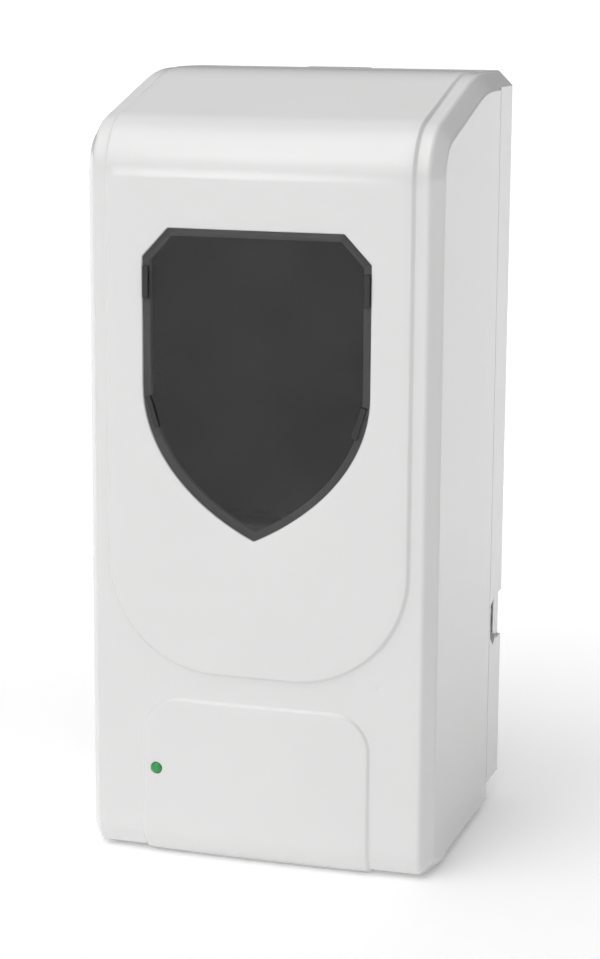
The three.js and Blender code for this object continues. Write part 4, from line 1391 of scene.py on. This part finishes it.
def cap_loop(shape: Shape, loop: Sequence[int], x: float, spacing: float) -> None:
    """Closes a loop of points that lies at one x with a flat net of triangles.

    Args:
        shape: the shape that owns the points.
        loop: the points' numbers in order.
        x: the loop's place.
        spacing: the net's spacing.
    """
    flat = [(shape.points[i][1], shape.points[i][2]) for i in loop]
    count = len(flat)
    tree = KDTree(count)
    for i, (y, z) in enumerate(flat):
        tree.insert((y, z, 0.0), i)
    tree.balance()
    net = []
    lows, highs = [min(p[k] for p in flat) for k in (0, 1)], [max(p[k] for p in flat) for k in (0, 1)]
    for row in range(int((highs[1] - lows[1]) / spacing)):
        for column in range(int((highs[0] - lows[0]) / spacing)):
            spot = (lows[0] + (column + 0.5) * spacing, lows[1] + (row + 0.5) * spacing)
            if inside_loop(Vector(spot), flat) and tree.find((*spot, 0.0))[2] > spacing / 2:
                net.append(spot)
    face = list(range(count))
    found, _, triangles, sources, _, _ = delaunay_2d_cdt([Vector(p) for p in flat + net], [], [face], 1, 1e-6)
    numbers = []
    for spot, source in zip(found, sources):
        old = [i for i in source if i < count]
        numbers.append(loop[old[0]] if old else shape.add([(x, spot.x, spot.y)])[0])
    shape.faces += [tuple(numbers[i] for i in triangle) for triangle in triangles]


def inside_loop(spot: Vector, outline: Sequence[Flat]) -> bool:
    """Returns whether a spot lies inside a closed outline."""
    inside = False
    count = len(outline)
    for i in range(count):
        (x0, z0), (x1, z1) = outline[i], outline[(i + 1) % count]
        if (z0 > spot.y) != (z1 > spot.y) and spot.x < (x1 - x0) * (spot.y - z0) / (z1 - z0) + x0:
            inside = not inside
    return inside


@dataclass
class ShieldWindow:
    """The smoked window: a bowed sheet with a bevelled edge and four snap hooks."""

    cover: CoverShell
    clearance: float = 0.06
    thickness: float = 1.5
    bevel: float = 1.2

    def sheet(self) -> Shape:
        """Returns the closed sheet."""
        shield = self.cover.shield
        face = self.cover.front - self.cover.upper.lift + 0.1
        inner = shield.outline(self.clearance + self.bevel)
        points = list(inner)
        edges = [(i, (i + 1) % len(inner)) for i in range(len(inner))]
        tree = KDTree(len(inner))
        for i, (x, z) in enumerate(inner):
            tree.insert((x, z, 0.0), i)
        tree.balance()
        step = 4.0
        for row in range(int((shield.top - shield.tip) / step) + 1):
            for column in range(-10, 11):
                spot = (column * step, shield.tip + row * step)
                if inside_loop(Vector(spot), inner) and tree.find((*spot, 0.0))[2] > 1.6:
                    points.append(spot)
        found, _, triangles, _, _, _ = delaunay_2d_cdt([Vector(p) for p in points], edges, [], 0, 1e-5)
        shape = Shape()

        def bowed(x: float) -> float:
            return face + x * x / (2 * self.cover.bow_radius)

        front = shape.add((p.x, bowed(p.x), p.y) for p in found)
        for triangle in triangles:
            middle = sum((found[i] for i in triangle), Vector((0.0, 0.0))) / 3
            if inside_loop(middle, inner):
                shape.faces.append(tuple(front[i] for i in triangle))
        near = KDTree(len(found))
        for i, p in enumerate(found):
            near.insert((p.x, p.y, 0.0), i)
        near.balance()
        rim = [front[near.find((x, z, 0.0))[1]] for x, z in inner]
        edge = shield.outline(self.clearance)
        rows = [rim, shape.add((x, bowed(x) + 0.45, z) for x, z in edge)]
        rows.append(shape.add((x, face + self.thickness, z) for x, z in edge))
        for lower, upper in zip(rows, rows[1:]):
            shape.bridge(lower, upper)
        shape.faces.append(tuple(reversed(rows[-1])))
        return shape

    def build(self) -> None:
        """Builds and dresses the window and its hooks."""
        face = self.cover.front - self.cover.upper.lift + 0.1
        sheet = self.sheet().build("shield_window", 20.0)
        dressed(sheet, Palette.WINDOW, Body.COVER, "smoked_window", ["window_lens"])
        hooks = self.cover.shield.bars((face + 0.16, face + 8.2))
        for x, z, lean in self.cover.shield.hooks():
            if lean == 0:
                low, high = sorted((x - math.copysign(1.2, x), x + math.copysign(1.9, x)))
                hooks.merge(slab((low, high), (face + 6.4, face + 8.4), (z - 4, z + 4)))
        dressed(softened(hooks.build("window_hooks"), 0.2), Palette.BLACK, Body.COVER, "smoked_window")


@dataclass
class StatusLight:
    """The clear light guide in the cover."""

    cover: CoverShell
    radius: float = 1.8

    def build(self) -> None:
        """Builds and dresses the light guide."""
        low, high = node_box("light_guide")
        x, z = self.cover.light
        tip = self.cover.front - self.cover.lower.lift + 0.35
        dome = [(0.0, tip)] + [
            (self.radius * math.sin(a), tip + 0.75 * (1 - math.cos(a))) for a in (math.pi / 2 * i / 8 for i in range(1, 9))
        ]
        tail = [(self.radius, high.y - 2.0), (3.0, high.y - 2.0), (3.0, high.y - 1.0), (self.radius, high.y - 1.0),
                (self.radius, high.y), (0.0, high.y)]
        guide = turned(dome + tail, Axis.Y, (x, 0.0, z), 40, False).build("status_light_guide")
        dressed(guide, Palette.GUIDE, Body.COVER, "light_guide_clear", ["light_guide"])


# ------------------------------------------------------------------------------------------------ copies
@dataclass(frozen=True)
class SoftCopy:
    """A CAD node shown as a merged copy with rounded edges."""

    node: str
    edge_mm: float
    finish: object
    body: Body = Body.CHASSIS
    segments: int = 2

    def build(self) -> bpy.types.Object:
        """Builds and dresses the copy."""
        piece = softened(copy_of(self.node, f"{self.node}_moulding"), self.edge_mm, self.segments)
        return dressed(piece, self.finish, self.body, slot_of(self.node), [self.node])


class Casework:
    """The moulded parts that keep their CAD shape and get soft edges."""

    COPIES = (
        SoftCopy("back_plate", 0.35, Palette.SHELL),
        SoftCopy("latch_button", 0.45, Palette.SHELL, Body.LATCH, 3),
        SoftCopy("drive_housing", 0.7, Palette.INSIDE),
        SoftCopy("drive_front_panel", 0.5, Palette.INSIDE),
        SoftCopy("battery_box", 0.3, Palette.INSIDE),
        SoftCopy("battery_door", 0.35, Palette.INSIDE),
        SoftCopy("reservoir", 0.9, Palette.TANK, Body.CHASSIS, 3),
        SoftCopy("pump_body", 0.5, Palette.ACETAL),
        SoftCopy("pump_cover", 0.5, Palette.ACETAL),
        SoftCopy("pump_drive_gear", 0.15, Palette.ACETAL, Body.DRIVE_GEAR),
        SoftCopy("pump_idler_gear", 0.15, Palette.ACETAL, Body.IDLER_GEAR),
        SoftCopy("circuit_board", 0.12, Palette.BOARD),
        SoftCopy("sensor_board", 0.12, Palette.BOARD),
        SoftCopy("dc_jack", 0.25, Palette.BLACK),
        SoftCopy("switch_body", 0.25, Palette.BLACK),
        SoftCopy("switch_slider", 0.25, Palette.BLACK, Body.MODE_SWITCH),
        SoftCopy("sensor_window", 0.35, Palette.SENSOR_WINDOW),
    )

    def build(self) -> None:
        """Builds every copy."""
        for copy in self.COPIES:
            copy.build()


@dataclass
class PanScrews:
    """The pan-head screws of the housing and the reservoir, copied onto their places by a recipe."""

    head_radius: float = 3.0
    head_height: float = 2.0
    shank_radius: float = 1.3
    length: float = 14.0
    slot: float = 0.7

    def shape(self) -> bpy.types.Object:
        """Returns one screw whose head's underside is at the origin, its shank running along +Y."""
        dome = [(0.0, -self.head_height)]
        dome += [
            (self.head_radius * math.sin(a), -self.head_height + 0.9 * (1 - math.cos(a)))
            for a in (math.pi / 2 * i / 7 for i in range(1, 8))
        ]
        threads = []
        place = 1.0
        while place < self.length - 1.6:
            threads += [(self.shank_radius - 0.25, place), (self.shank_radius, place + 0.4)]
            place += 0.8
        profile = dome + [(self.head_radius, 0.0), (self.shank_radius, 0.0), *threads]
        profile += [(self.shank_radius - 0.25, self.length - 1.5), (0.0, self.length)]
        screw = loose_shape(turned(profile, Axis.Y, (0.0, 0.0, 0.0), 28, False), "screw_pattern")
        for wide, tall in ((1.7, self.slot / 2), (self.slot / 2, 1.7)):
            recess = slab((-wide, wide), (-3.0, -1.0), (-tall, tall))
            screw = cut_away(screw, loose_shape(recess, "screw_recess"))
        return screw

    def build(self, recipe: Recipe) -> None:
        """Builds and dresses both groups of screws."""
        pattern = self.shape()
        groups = {
            "housing_screws": [f"housing_screw_{i}" for i in range(1, 5)],
            "reservoir_screws": ["tank_screw_left", "tank_screw_right"],
        }
        for name, nodes in groups.items():
            places = []
            for node in nodes:
                low, high = node_box(node)
                places.append(((low.x + high.x) / 2, low.y + self.head_height, (low.z + high.z) / 2))
            screws = recipe.run(name, point_mesh(places), Palette.STEEL, Shape=pattern)
            dressed(screws, Palette.STEEL, Body.CHASSIS, "steel", nodes)
        bpy.data.objects.remove(pattern)


@dataclass
class Springs:
    """The latch spring and the four battery springs as wound wire."""

    wire: float = 0.4

    def build(self, recipe: Recipe) -> None:
        """Builds and dresses the springs."""
        low, high = node_box("latch_spring")
        radius = (high.x - low.x) / 2 - self.wire
        foot = SPACE.metres(((low.x + high.x) / 2, (low.y + high.y) / 2, low.z + self.wire))
        coil = recipe.run(
            "latch_coil", None, Palette.STEEL, Turns=6.0, Foot_Radius=radius * MM, Head_Radius=radius * MM,
            Height=(high.z - low.z - 2 * self.wire) * MM, Wire_Radius=self.wire * MM, Place=foot,
        )
        dressed(coil, Palette.STEEL, Body.CHASSIS, "steel", ["latch_spring"])
        anchor = SPACE.metres((0, (low.y + high.y) / 2, low.z))
        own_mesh(coil)
        for i in range(1, 5):
            self._contact(recipe, i)

    def _contact(self, recipe: Recipe, number: int) -> None:
        """Builds and dresses one battery contact spring, wide at the end that sits on the box."""
        low, high = node_box(f"battery_spring_{number}")
        at_bottom = number % 2 == 1
        wide, narrow = 4.6, 2.4
        foot = SPACE.metres(((low.x + high.x) / 2, (low.y + high.y) / 2, low.z + self.wire))
        coil = recipe.run(
            f"battery_contact_{number}", None, Palette.STEEL, Turns=3.0,
            Foot_Radius=(wide if at_bottom else narrow) * MM, Head_Radius=(narrow if at_bottom else wide) * MM,
            Height=(high.z - low.z - 2 * self.wire) * MM, Wire_Radius=self.wire * MM, Place=foot,
        )
        dressed(coil, Palette.STEEL, Body.CHASSIS, "steel", [f"battery_spring_{number}"])


@dataclass
class FillerCap:
    """The quarter-turn cap: a rounded lid with fine grip ribs all round."""

    ribs: int = 48
    inner_gap: float = 3.5

    def build(self, recipe: Recipe) -> None:
        """Builds and dresses the cap and its ribs."""
        low, high = node_box("filler_cap")
        x, y = (low.x + high.x) / 2, (low.y + high.y) / 2
        outer = (high.x - low.x) / 2 - 0.6
        bore = outer + 0.6 - self.inner_gap
        profile = rounded_profile([
            (outer, low.z, 0.4), (outer, high.z, 1.6), (outer * 0.62, high.z, 0.8), (outer * 0.55, high.z - 0.7, 0.8),
            (0.001, high.z - 0.7, 0.0), (0.001, high.z - 1.6, 0.0), (bore, high.z - 1.6, 0.3), (bore, low.z, 0.3),
        ])
        lid = turned(profile, Axis.Z, (x, y, 0.0), 96).build("cap_lid")
        dressed(lid, Palette.CAP, Body.CAP, "cap_grey", ["filler_cap"])
        tall = high.z - low.z - 2.4
        bar = turned([(0.0, 0.0), (0.6, 0.3), (0.6, tall - 0.3), (0.0, tall)], Axis.Z, (0.0, 0.0, 0.0), 10, False)
        pattern = loose_shape(bar, "rib_pattern")
        ribs = recipe.run(
            "cap_ribs", None, Palette.CAP, Count=self.ribs, Radius=outer * MM, Shape=pattern,
            Place=SPACE.metres((x, y, low.z + 0.5)),
        )
        bpy.data.objects.remove(pattern)
        dressed(ribs, Palette.CAP, Body.CAP, "cap_grey")


@dataclass
class TurnedParts:
    """Round parts rebuilt with smooth walls: pins, nozzle, valve, outlet, cells, motor and diodes."""

    def _turned(self, node: str, profile: Sequence[Flat], axis: Axis, centre: Point, finish: object,
                body: Body = Body.CHASSIS, closed: bool = False) -> bpy.types.Object:
        """Builds and dresses one turned part."""
        piece = turned(profile, axis, centre, 64, closed).build(f"{node}_turned", 30.0)
        return dressed(piece, finish, body, slot_of(node), [node])

    def pins(self) -> None:
        """Builds the two hinge pins with rounded ends."""
        for node in ("hinge_pin_left", "hinge_pin_right"):
            low, high = node_box(node)
            radius = (high.z - low.z) / 2
            profile = [(0.0, low.x), (radius - 0.3, low.x), (radius, low.x + 0.3)]
            profile += [(radius, high.x - 0.3), (radius - 0.3, high.x), (0.0, high.x)]
            centre = (0.0, (low.y + high.y) / 2, (low.z + high.z) / 2)
            self._turned(node, profile, Axis.X, centre, Palette.STEEL, Body.COVER)

    def nozzle(self) -> None:
        """Builds the nozzle and its duckbill valve."""
        low, high = node_box("nozzle")
        centre = ((low.x + high.x) / 2, (low.y + high.y) / 2, 0.0)
        profile = rounded_profile([
            (1.6, low.z, 0.0), (3.6, low.z, 0.5), (6.0, low.z + 5.8, 0.6), (6.0, 12.8, 0.0), (9.0, 12.8, 0.2),
            (9.0, 14.8, 0.3), (3.0, 14.8, 0.3), (3.0, high.z - 2, 0.0), (2.6, high.z, 0.2), (1.6, high.z, 0.0),
        ])
        self._turned("nozzle", profile, Axis.Z, centre, Palette.SHELL, closed=True)
        low, high = node_box("nozzle_valve")
        profile = [(0.5, low.z), (2.0, low.z), (2.2, low.z + 0.3), (3.4, high.z - 0.2), (3.2, high.z), (1.4, high.z)]
        self._turned("nozzle_valve", profile, Axis.Z, centre, Palette.SILICONE, closed=True)

    def outlet(self) -> None:
        """Builds the outlet nipple under the reservoir and its flat seal."""
        low, high = node_box("tank_outlet")
        centre = ((low.x + high.x) / 2, (low.y + high.y) / 2, 0.0)
        base = low.z
        profile = rounded_profile([
            (2.4, base, 0.2), (3.4, base, 0.3), (4.0, base + 2, 0.2), (3.4, base + 3, 0.2), (3.4, base + 13.6, 0.3),
            (9.0, base + 13.6, 0.3), (9.0, base + 15.4, 0.3), (5.4, base + 15.4, 0.2), (5.4, high.z, 0.4),
            (2.4, high.z, 0.4),
        ])
        self._turned("tank_outlet", profile, Axis.Z, centre, Palette.ACETAL, closed=True)
        low, high = node_box("outlet_seal")
        profile = rounded_profile([(5.8, low.z, 0.2), (8.6, low.z, 0.3), (8.6, high.z, 0.3), (5.8, high.z, 0.2)])
        self._turned("outlet_seal", profile, Axis.Z, centre, Palette.RUBBER, closed=True)

    def seal(self) -> None:
        """Builds the round seal inside the filler cap."""
        low, high = node_box("filler_seal")
        outer, thick = (high.x - low.x) / 2, (high.z - low.z) / 2
        middle = (low.z + high.z) / 2
        angles = (2 * math.pi * i / 16 for i in range(16))
        profile = [(outer - thick + thick * math.cos(a), middle + thick * math.sin(a)) for a in angles]
        centre = ((low.x + high.x) / 2, (low.y + high.y) / 2, 0.0)
        self._turned("filler_seal", profile, Axis.Z, centre, Palette.RUBBER, Body.CAP, True)

    def cells(self) -> None:
        """Builds the four battery cells, every second one upside down."""
        for i in range(1, 5):
            node = f"battery_cell_{i}"
            low, high = node_box(node)
            radius = (high.x - low.x) / 2
            tall = high.z - low.z
            shape = [(0.0, 0.0), (4.0, 0.0), (4.4, 0.3), (radius - 0.4, 0.3), (radius, 0.7), (radius, tall - 1.8)]
            shape += [(radius - 0.4, tall - 1.4), (5.2, tall - 1.4), (5.0, tall - 1.6), (3.0, tall - 1.6)]
            shape += [(2.7, tall - 1.3), (2.7, tall - 0.2), (2.5, tall), (0.0, tall)]
            upright = i % 2 == 1
            profile = [(r, low.z + z if upright else high.z - z) for r, z in shape]
            centre = ((low.x + high.x) / 2, (low.y + high.y) / 2, 0.0)
            self._turned(node, profile, Axis.Z, centre, Palette.CELL)

    def motor(self) -> None:
        """Builds the motor's gearbox and end cap. The flat-sided can keeps its CAD shape."""
        low, high = node_box("gearbox_case")
        centre = (0.0, (low.y + high.y) / 2, (low.z + high.z) / 2)
        radius = (high.z - low.z) / 2
        profile = rounded_profile([
            (1.8, low.x, 0.0), (radius - 2, low.x, 0.4), (radius - 2, low.x + 1.2, 0.2), (radius, low.x + 1.2, 0.5),
            (radius, high.x, 0.4), (2.2, high.x, 0.0), (2.2, high.x - 3, 0.0), (1.8, high.x - 3, 0.0),
        ])
        self._turned("gearbox_case", profile, Axis.X, centre, Palette.ACETAL, closed=True)
        low, high = node_box("motor_end_cap")
        radius = (high.z - low.z) / 2
        profile = [(0.0, low.x), (radius - 0.4, low.x), (radius, low.x + 0.4), (radius, high.x - 0.8)]
        profile += [(radius - 0.8, high.x), (3.0, high.x), (2.6, high.x - 0.5), (0.0, high.x - 0.5)]
        self._turned("motor_end_cap", profile, Axis.X, centre, Palette.BLACK)
        can = softened(copy_of("motor_can", "motor_can_drawn"), 0.6, 3)
        dressed(can, Palette.MOTOR, Body.CHASSIS, "steel", ["motor_can"])

    def diodes(self) -> None:
        """Builds the status diode and the infrared pair with round tips and collars."""
        low, high = node_box("status_led")
        centre = ((low.x + high.x) / 2, 0.0, (low.z + high.z) / 2)
        self._diode("status_led", Axis.Y, high.y, low.y, (high.x - low.x) / 2, centre, Palette.DIODE)
        for node, finish in (("ir_emitter", Palette.CLEAR), ("ir_receiver", Palette.BLACK)):
            low, high = node_box(node)
            centre = ((low.x + high.x) / 2, (low.y + high.y) / 2, 0.0)
            self._diode(node, Axis.Z, high.z, low.z, (high.x - low.x) / 2, centre, finish)

    def _diode(self, node: str, axis: Axis, base: float, tip: float, radius: float, centre: Point,
               finish: object) -> None:
        """Builds and dresses one diode.

        Args:
            node: the CAD node it stands for.
            axis: the axis it points along.
            base: where it starts.
            tip: where its dome ends.
            radius: its body's radius.
            centre: its axis' place.
            finish: its finish.
        """
        way = math.copysign(1.0, tip - base)
        body = radius - 0.15
        dome = [
            (body * math.cos(a), tip - way * body + way * body * math.sin(a))
            for a in (math.pi / 2 * i / 10 for i in range(11))
        ]
        dome[-1] = (0.0, tip)
        profile = [(0.0, base), (radius, base), (radius, base + way * 0.9), (body, base + way * 0.9), *dome]
        self._turned(node, profile, axis, centre, finish)

    def build(self) -> None:
        """Builds every turned part."""
        self.pins()
        self.nozzle()
        self.outlet()
        self.seal()
        self.cells()
        self.motor()
        self.diodes()


@dataclass
class BoardParts:
    """Components on the circuit board: chips, small parts and a pin header."""

    pin_pitch: float = 2.54

    def build(self, recipe: Recipe) -> None:
        """Builds and dresses the parts on the back of the main board."""
        _, high = node_box("circuit_board")
        back = high.y
        chips = slab((-6, 6), (back, back + 1.6), (28, 38)).merge(slab((12, 18), (back, back + 1.4), (20, 26)))
        chips.merge(slab((-24, -15), (back, back + 2.4), (18, 24)))
        dressed(softened(chips.build("board_chips"), 0.15), Palette.BLACK, Body.CHASSIS, "black_plastic")
        pattern = loose_shape(slab((-0.32, 0.32), (0.0, 3.6), (-0.32, 0.32)), "pin_pattern")
        places = [(-40 + self.pin_pitch * i, back, 48 + self.pin_pitch * j - 2) for i in range(8) for j in range(2)]
        places += [(-7.2 + 1.2 * i, back, z) for i in range(13) for z in (27.2, 38.8)]
        pins = recipe.run("board_pins", point_mesh(places), Palette.STEEL, Shape=pattern)
        bpy.data.objects.remove(pattern)
        dressed(pins, Palette.STEEL, Body.CHASSIS, "steel")
        coils = Shape()
        for x, z, radius in ((-30, 36, 3.2), (-21, 36, 3.2), (22, 34, 2.5)):
            profile = rounded_profile([(0.001, back, 0.0), (radius, back, 0.2), (radius, back + 6.0, 0.5),
                                       (0.001, back + 6.0, 0.0)])
            coils.merge(turned(profile, Axis.Y, (x, 0.0, z), 28))
        dressed(coils.build("board_capacitors"), Palette.MOTOR, Body.CHASSIS, "steel")


@dataclass(frozen=True)
class TubeRun:
    """A fixed hose or lead inside the housing."""

    node: str
    finish: object
    slot: str
    radius: float
    bore: float
    route: tuple[Point, ...]

    def build(self, recipe: Recipe) -> None:
        """Builds and dresses the tube, with a real wall where it has a bore."""
        name = f"{self.node}_tube"
        tube = recipe.run(name, route_mesh(self.route), self.finish, Radius=self.radius * MM,
                          Closed_Ends=not self.bore)
        if self.bore:
            wall = tube.modifiers.new("wall", "SOLIDIFY")
            wall.thickness = (self.radius - self.bore) * MM
            wall.offset = -1.0
        dressed(tube, self.finish, Body.CHASSIS, self.slot, [self.node])


class TubeRuns:
    """The two hoses of the soap path and the three leads."""

    RUNS = (
        TubeRun("inlet_hose", Palette.SILICONE, "silicone", 5.6, 4.4, (
            (0, -40, 117.2), (0, -40, 110), (0, -40, 103), (-5, -39, 95), (-18, -37, 88), (-29, -36, 86),
            (-33, -36, 80), (-33, -36, 74), (-33, -36, 68.2))),
        TubeRun("outlet_hose", Palette.SILICONE, "silicone", 4.6, 3.4, (
            (-33, -58.2, 46.5), (-33, -63, 46.5), (-32, -69, 46.2), (-24, -73, 44), (-10, -72, 41.5), (-2, -67, 40),
            (0, -62.5, 36), (0, -61, 30), (0, -61, 24), (0, -61, 16))),
        TubeRun("jack_lead", Palette.WIRE, "wire_insulation", 1.4, 0.0, (
            (47.6, -12, 70), (42, -12, 69.5), (37, -14, 67), (36, -19.5, 66), (37, -30, 64), (42, -50, 58),
            (43, -70, 48), (43, -82.1, 45))),
        TubeRun("motor_lead", Palette.WIRE, "wire_insulation", 1.2, 0.0, (
            (22.7, -44, 42), (28, -46, 43), (33, -55, 46), (34, -70, 46), (34, -82.1, 44))),
        TubeRun("battery_lead", Palette.WIRE, "wire_insulation", 1.1, 0.0, (
            (30, -75, 56.6), (30, -75, 53), (28, -76, 49), (25, -79, 47), (24, -82.1, 46.5))),
    )

    def build(self, recipe: Recipe) -> None:
        """Builds every hose and lead."""
        for run in self.RUNS:
            run.build(recipe)


class PlainNodes:
    """Gives every CAD node that still shows its own shape a finish."""

    OWN = {"sensor_window": Palette.SENSOR_WINDOW, "ir_emitter": Palette.CLEAR}

    def build(self) -> None:
        """Dresses the CAD nodes."""
        for name, node in frame["nodes"].items():
            finish = self.OWN.get(name, SLOT_FINISHES[slot_of(name)])
            node.data.materials.clear()
            node.data.materials.append(PALETTE.get(finish))
            if not node.hide_render:
                LOG.info("%s: CAD shape, finish %s", name, finish.name)


# ------------------------------------------------------------------------------------------------ studio
@dataclass
class Studio:
    """A white floor and backdrop, soft boxes and the camera."""

    lens: float = 92.74
    camera_place: Point = (0.257623, -0.872277, 0.111091)
    right: Point = (0.95359489, 0.30103039, 0.00612222)
    up: Point = (-0.0656195, 0.18793692, 0.97998663)
    back: Point = (0.29385516, -0.93491198, 0.19896915)

    def camera(self) -> None:
        """Sets the camera at the viewing place."""
        data = bpy.data.cameras.new("camera")
        data.lens = self.lens
        data.clip_start = 0.01
        data.clip_end = 300.0
        camera = bpy.data.objects.new("camera", data)
        bpy.context.scene.collection.objects.link(camera)
        turn = Matrix((self.right, self.up, self.back)).transposed()
        camera.matrix_world = Matrix.Translation(self.camera_place) @ turn.to_4x4()
        bpy.context.scene.camera = camera

    def floor(self) -> None:
        """Lays the white floor, which gives off a little more light behind the dispenser."""
        mesh = bpy.data.meshes.new("floor")
        reach, height = 90.0, SPACE.lip - 0.0003
        mesh.from_pydata([(-reach, -reach, height), (reach, -reach, height), (reach, reach, height),
                          (-reach, reach, height)], [], [(0, 1, 2, 3)])
        sheet = linked(mesh, "floor", 30.0)
        graph = Graph("white_floor")
        cloudy = graph.noise(400.0, 1.0)
        spot = graph.node("ShaderNodeTexCoord")
        parts = graph.node("ShaderNodeSeparateXYZ", {}, {0: spot.outputs["Object"]})
        backward = (Value(graph, parts.outputs["Y"]) - 0.05) * 2.5
        share = graph.maths("MAXIMUM", graph.maths("MINIMUM", backward, 1.0), 0.0)
        mesh.materials.append(graph.close(
            Base_Color=graph.between((0.89, 0.89, 0.89), (0.91, 0.91, 0.91), cloudy),
            Roughness=0.7,
            Specular_IOR_Level=0.1,
            Emission_Color=graph.between((0.56, 0.56, 0.56), (1.0, 1.0, 1.0), share),
            Emission_Strength=0.34,
        ))

    def backdrop(self) -> None:
        """Hangs a white dome far round the floor, which shows in the picture and sheds no light."""
        ball = bmesh.new()
        bmesh.ops.create_uvsphere(ball, u_segments=48, v_segments=24, radius=120.0)
        bmesh.ops.reverse_faces(ball, faces=ball.faces)
        mesh = bpy.data.meshes.new("backdrop")
        ball.to_mesh(mesh)
        ball.free()
        dome = linked(mesh, "backdrop", 180.0)
        graph = Graph("white_backdrop")
        mesh.materials.append(graph.close(
            Base_Color=(0.0, 0.0, 0.0, 1.0),
            Specular_IOR_Level=0.0,
            Emission_Color=(1.0, 1.0, 1.0, 1.0),
            Emission_Strength=1.0,
        ))
        dome.visible_diffuse = False
        dome.visible_glossy = False
        dome.visible_transmission = False
        dome.visible_shadow = False

    def light(self, name: str, place: Point, target: Point, size: Flat, radiance: float) -> None:
        """Hangs one rectangular soft box.

        Args:
            name: the light's name.
            place: where it hangs, in metres.
            target: the point it faces.
            size: its width and height in metres.
            radiance: how bright its face is, with white paper in even light at 1.
        """
        data = bpy.data.lights.new(name, "AREA")
        data.shape = "RECTANGLE"
        data.size, data.size_y = size
        data.energy = radiance * math.pi * size[0] * size[1]
        lamp = bpy.data.objects.new(name, data)
        bpy.context.scene.collection.objects.link(lamp)
        lamp.visible_camera = False
        lamp.location = place
        lamp.rotation_euler = (Vector(target) - Vector(place)).to_track_quat("-Z", "Y").to_euler()

    def world(self) -> None:
        """Fills the room with soft white light that falls off to the right and rises overhead."""
        world = bpy.data.worlds.new("studio")
        bpy.context.scene.world = world
        graph = Graph("studio", world)
        coordinates = graph.node("ShaderNodeTexCoord")
        parts = graph.node("ShaderNodeSeparateXYZ", {}, {0: coordinates.outputs["Generated"]})
        rightward, upward = Value(graph, parts.outputs["X"]), Value(graph, parts.outputs["Z"])
        horizon = (1.0 - upward) ** 16.0
        leftward = graph.maths("MAXIMUM", rightward, -0.12)
        key = self._toward(graph, coordinates, (-0.16, -0.55, 0.82), 0.70)
        window = self._toward(graph, coordinates, (-0.355, -0.934, 0.03), 0.968)
        spread = 0.07 + upward * 0.68 - leftward * 0.72 + horizon * 0.26
        level = graph.maths("MAXIMUM", spread, 0.20) + key * 1.80 + window * 3.2
        sky = graph.node("ShaderNodeBackground", {}, {"Color": (1.0, 1.0, 1.0, 1.0), "Strength": level})
        graph.node("ShaderNodeOutputWorld", {}, {"Surface": sky.outputs[0]})

    @staticmethod
    def _toward(graph: Graph, coordinates: bpy.types.Node, place: Point, edge: float) -> Value:
        """Returns 1 in one direction of the sky, falling to 0 where its cosine meets the edge."""
        turned_to = graph.node(
            "ShaderNodeVectorMath",
            {"operation": "DOT_PRODUCT"},
            {0: coordinates.outputs["Generated"], 1: Vector(place).normalized()},
        )
        return graph.maths("MAXIMUM", (Value(graph, turned_to.outputs["Value"]) - edge) * (1 / (1 - edge)), 0.0)

    def build(self) -> None:
        """Builds the whole studio."""
        bpy.context.scene.view_settings.view_transform = "Standard"
        self.camera()
        self.floor()
        self.backdrop()
        self.world()
        self.light("fill_box", (-0.6, -1.9, 1.5), (0.0, -0.05, 0.0), (0.9, 0.7), 0.5)


def main() -> None:
    """Builds the dispenser and its studio."""
    logging.basicConfig(level=logging.INFO, format="%(name)s %(message)s")
    cover = CoverShell()
    cover.build()
    ShieldWindow(cover).build()
    StatusLight(cover).build()
    Casework().build()
    coils, copies, rounds = coil_recipe(), scatter_recipe(), round_recipe()
    PanScrews().build(copies)
    Springs().build(coils)
    FillerCap().build(rounds)
    TurnedParts().build()
    BoardParts().build(copies)
    TubeRuns().build(sweep_recipe())
    PlainNodes().build()
    Studio().build()


if __name__ == "__main__":
    main()
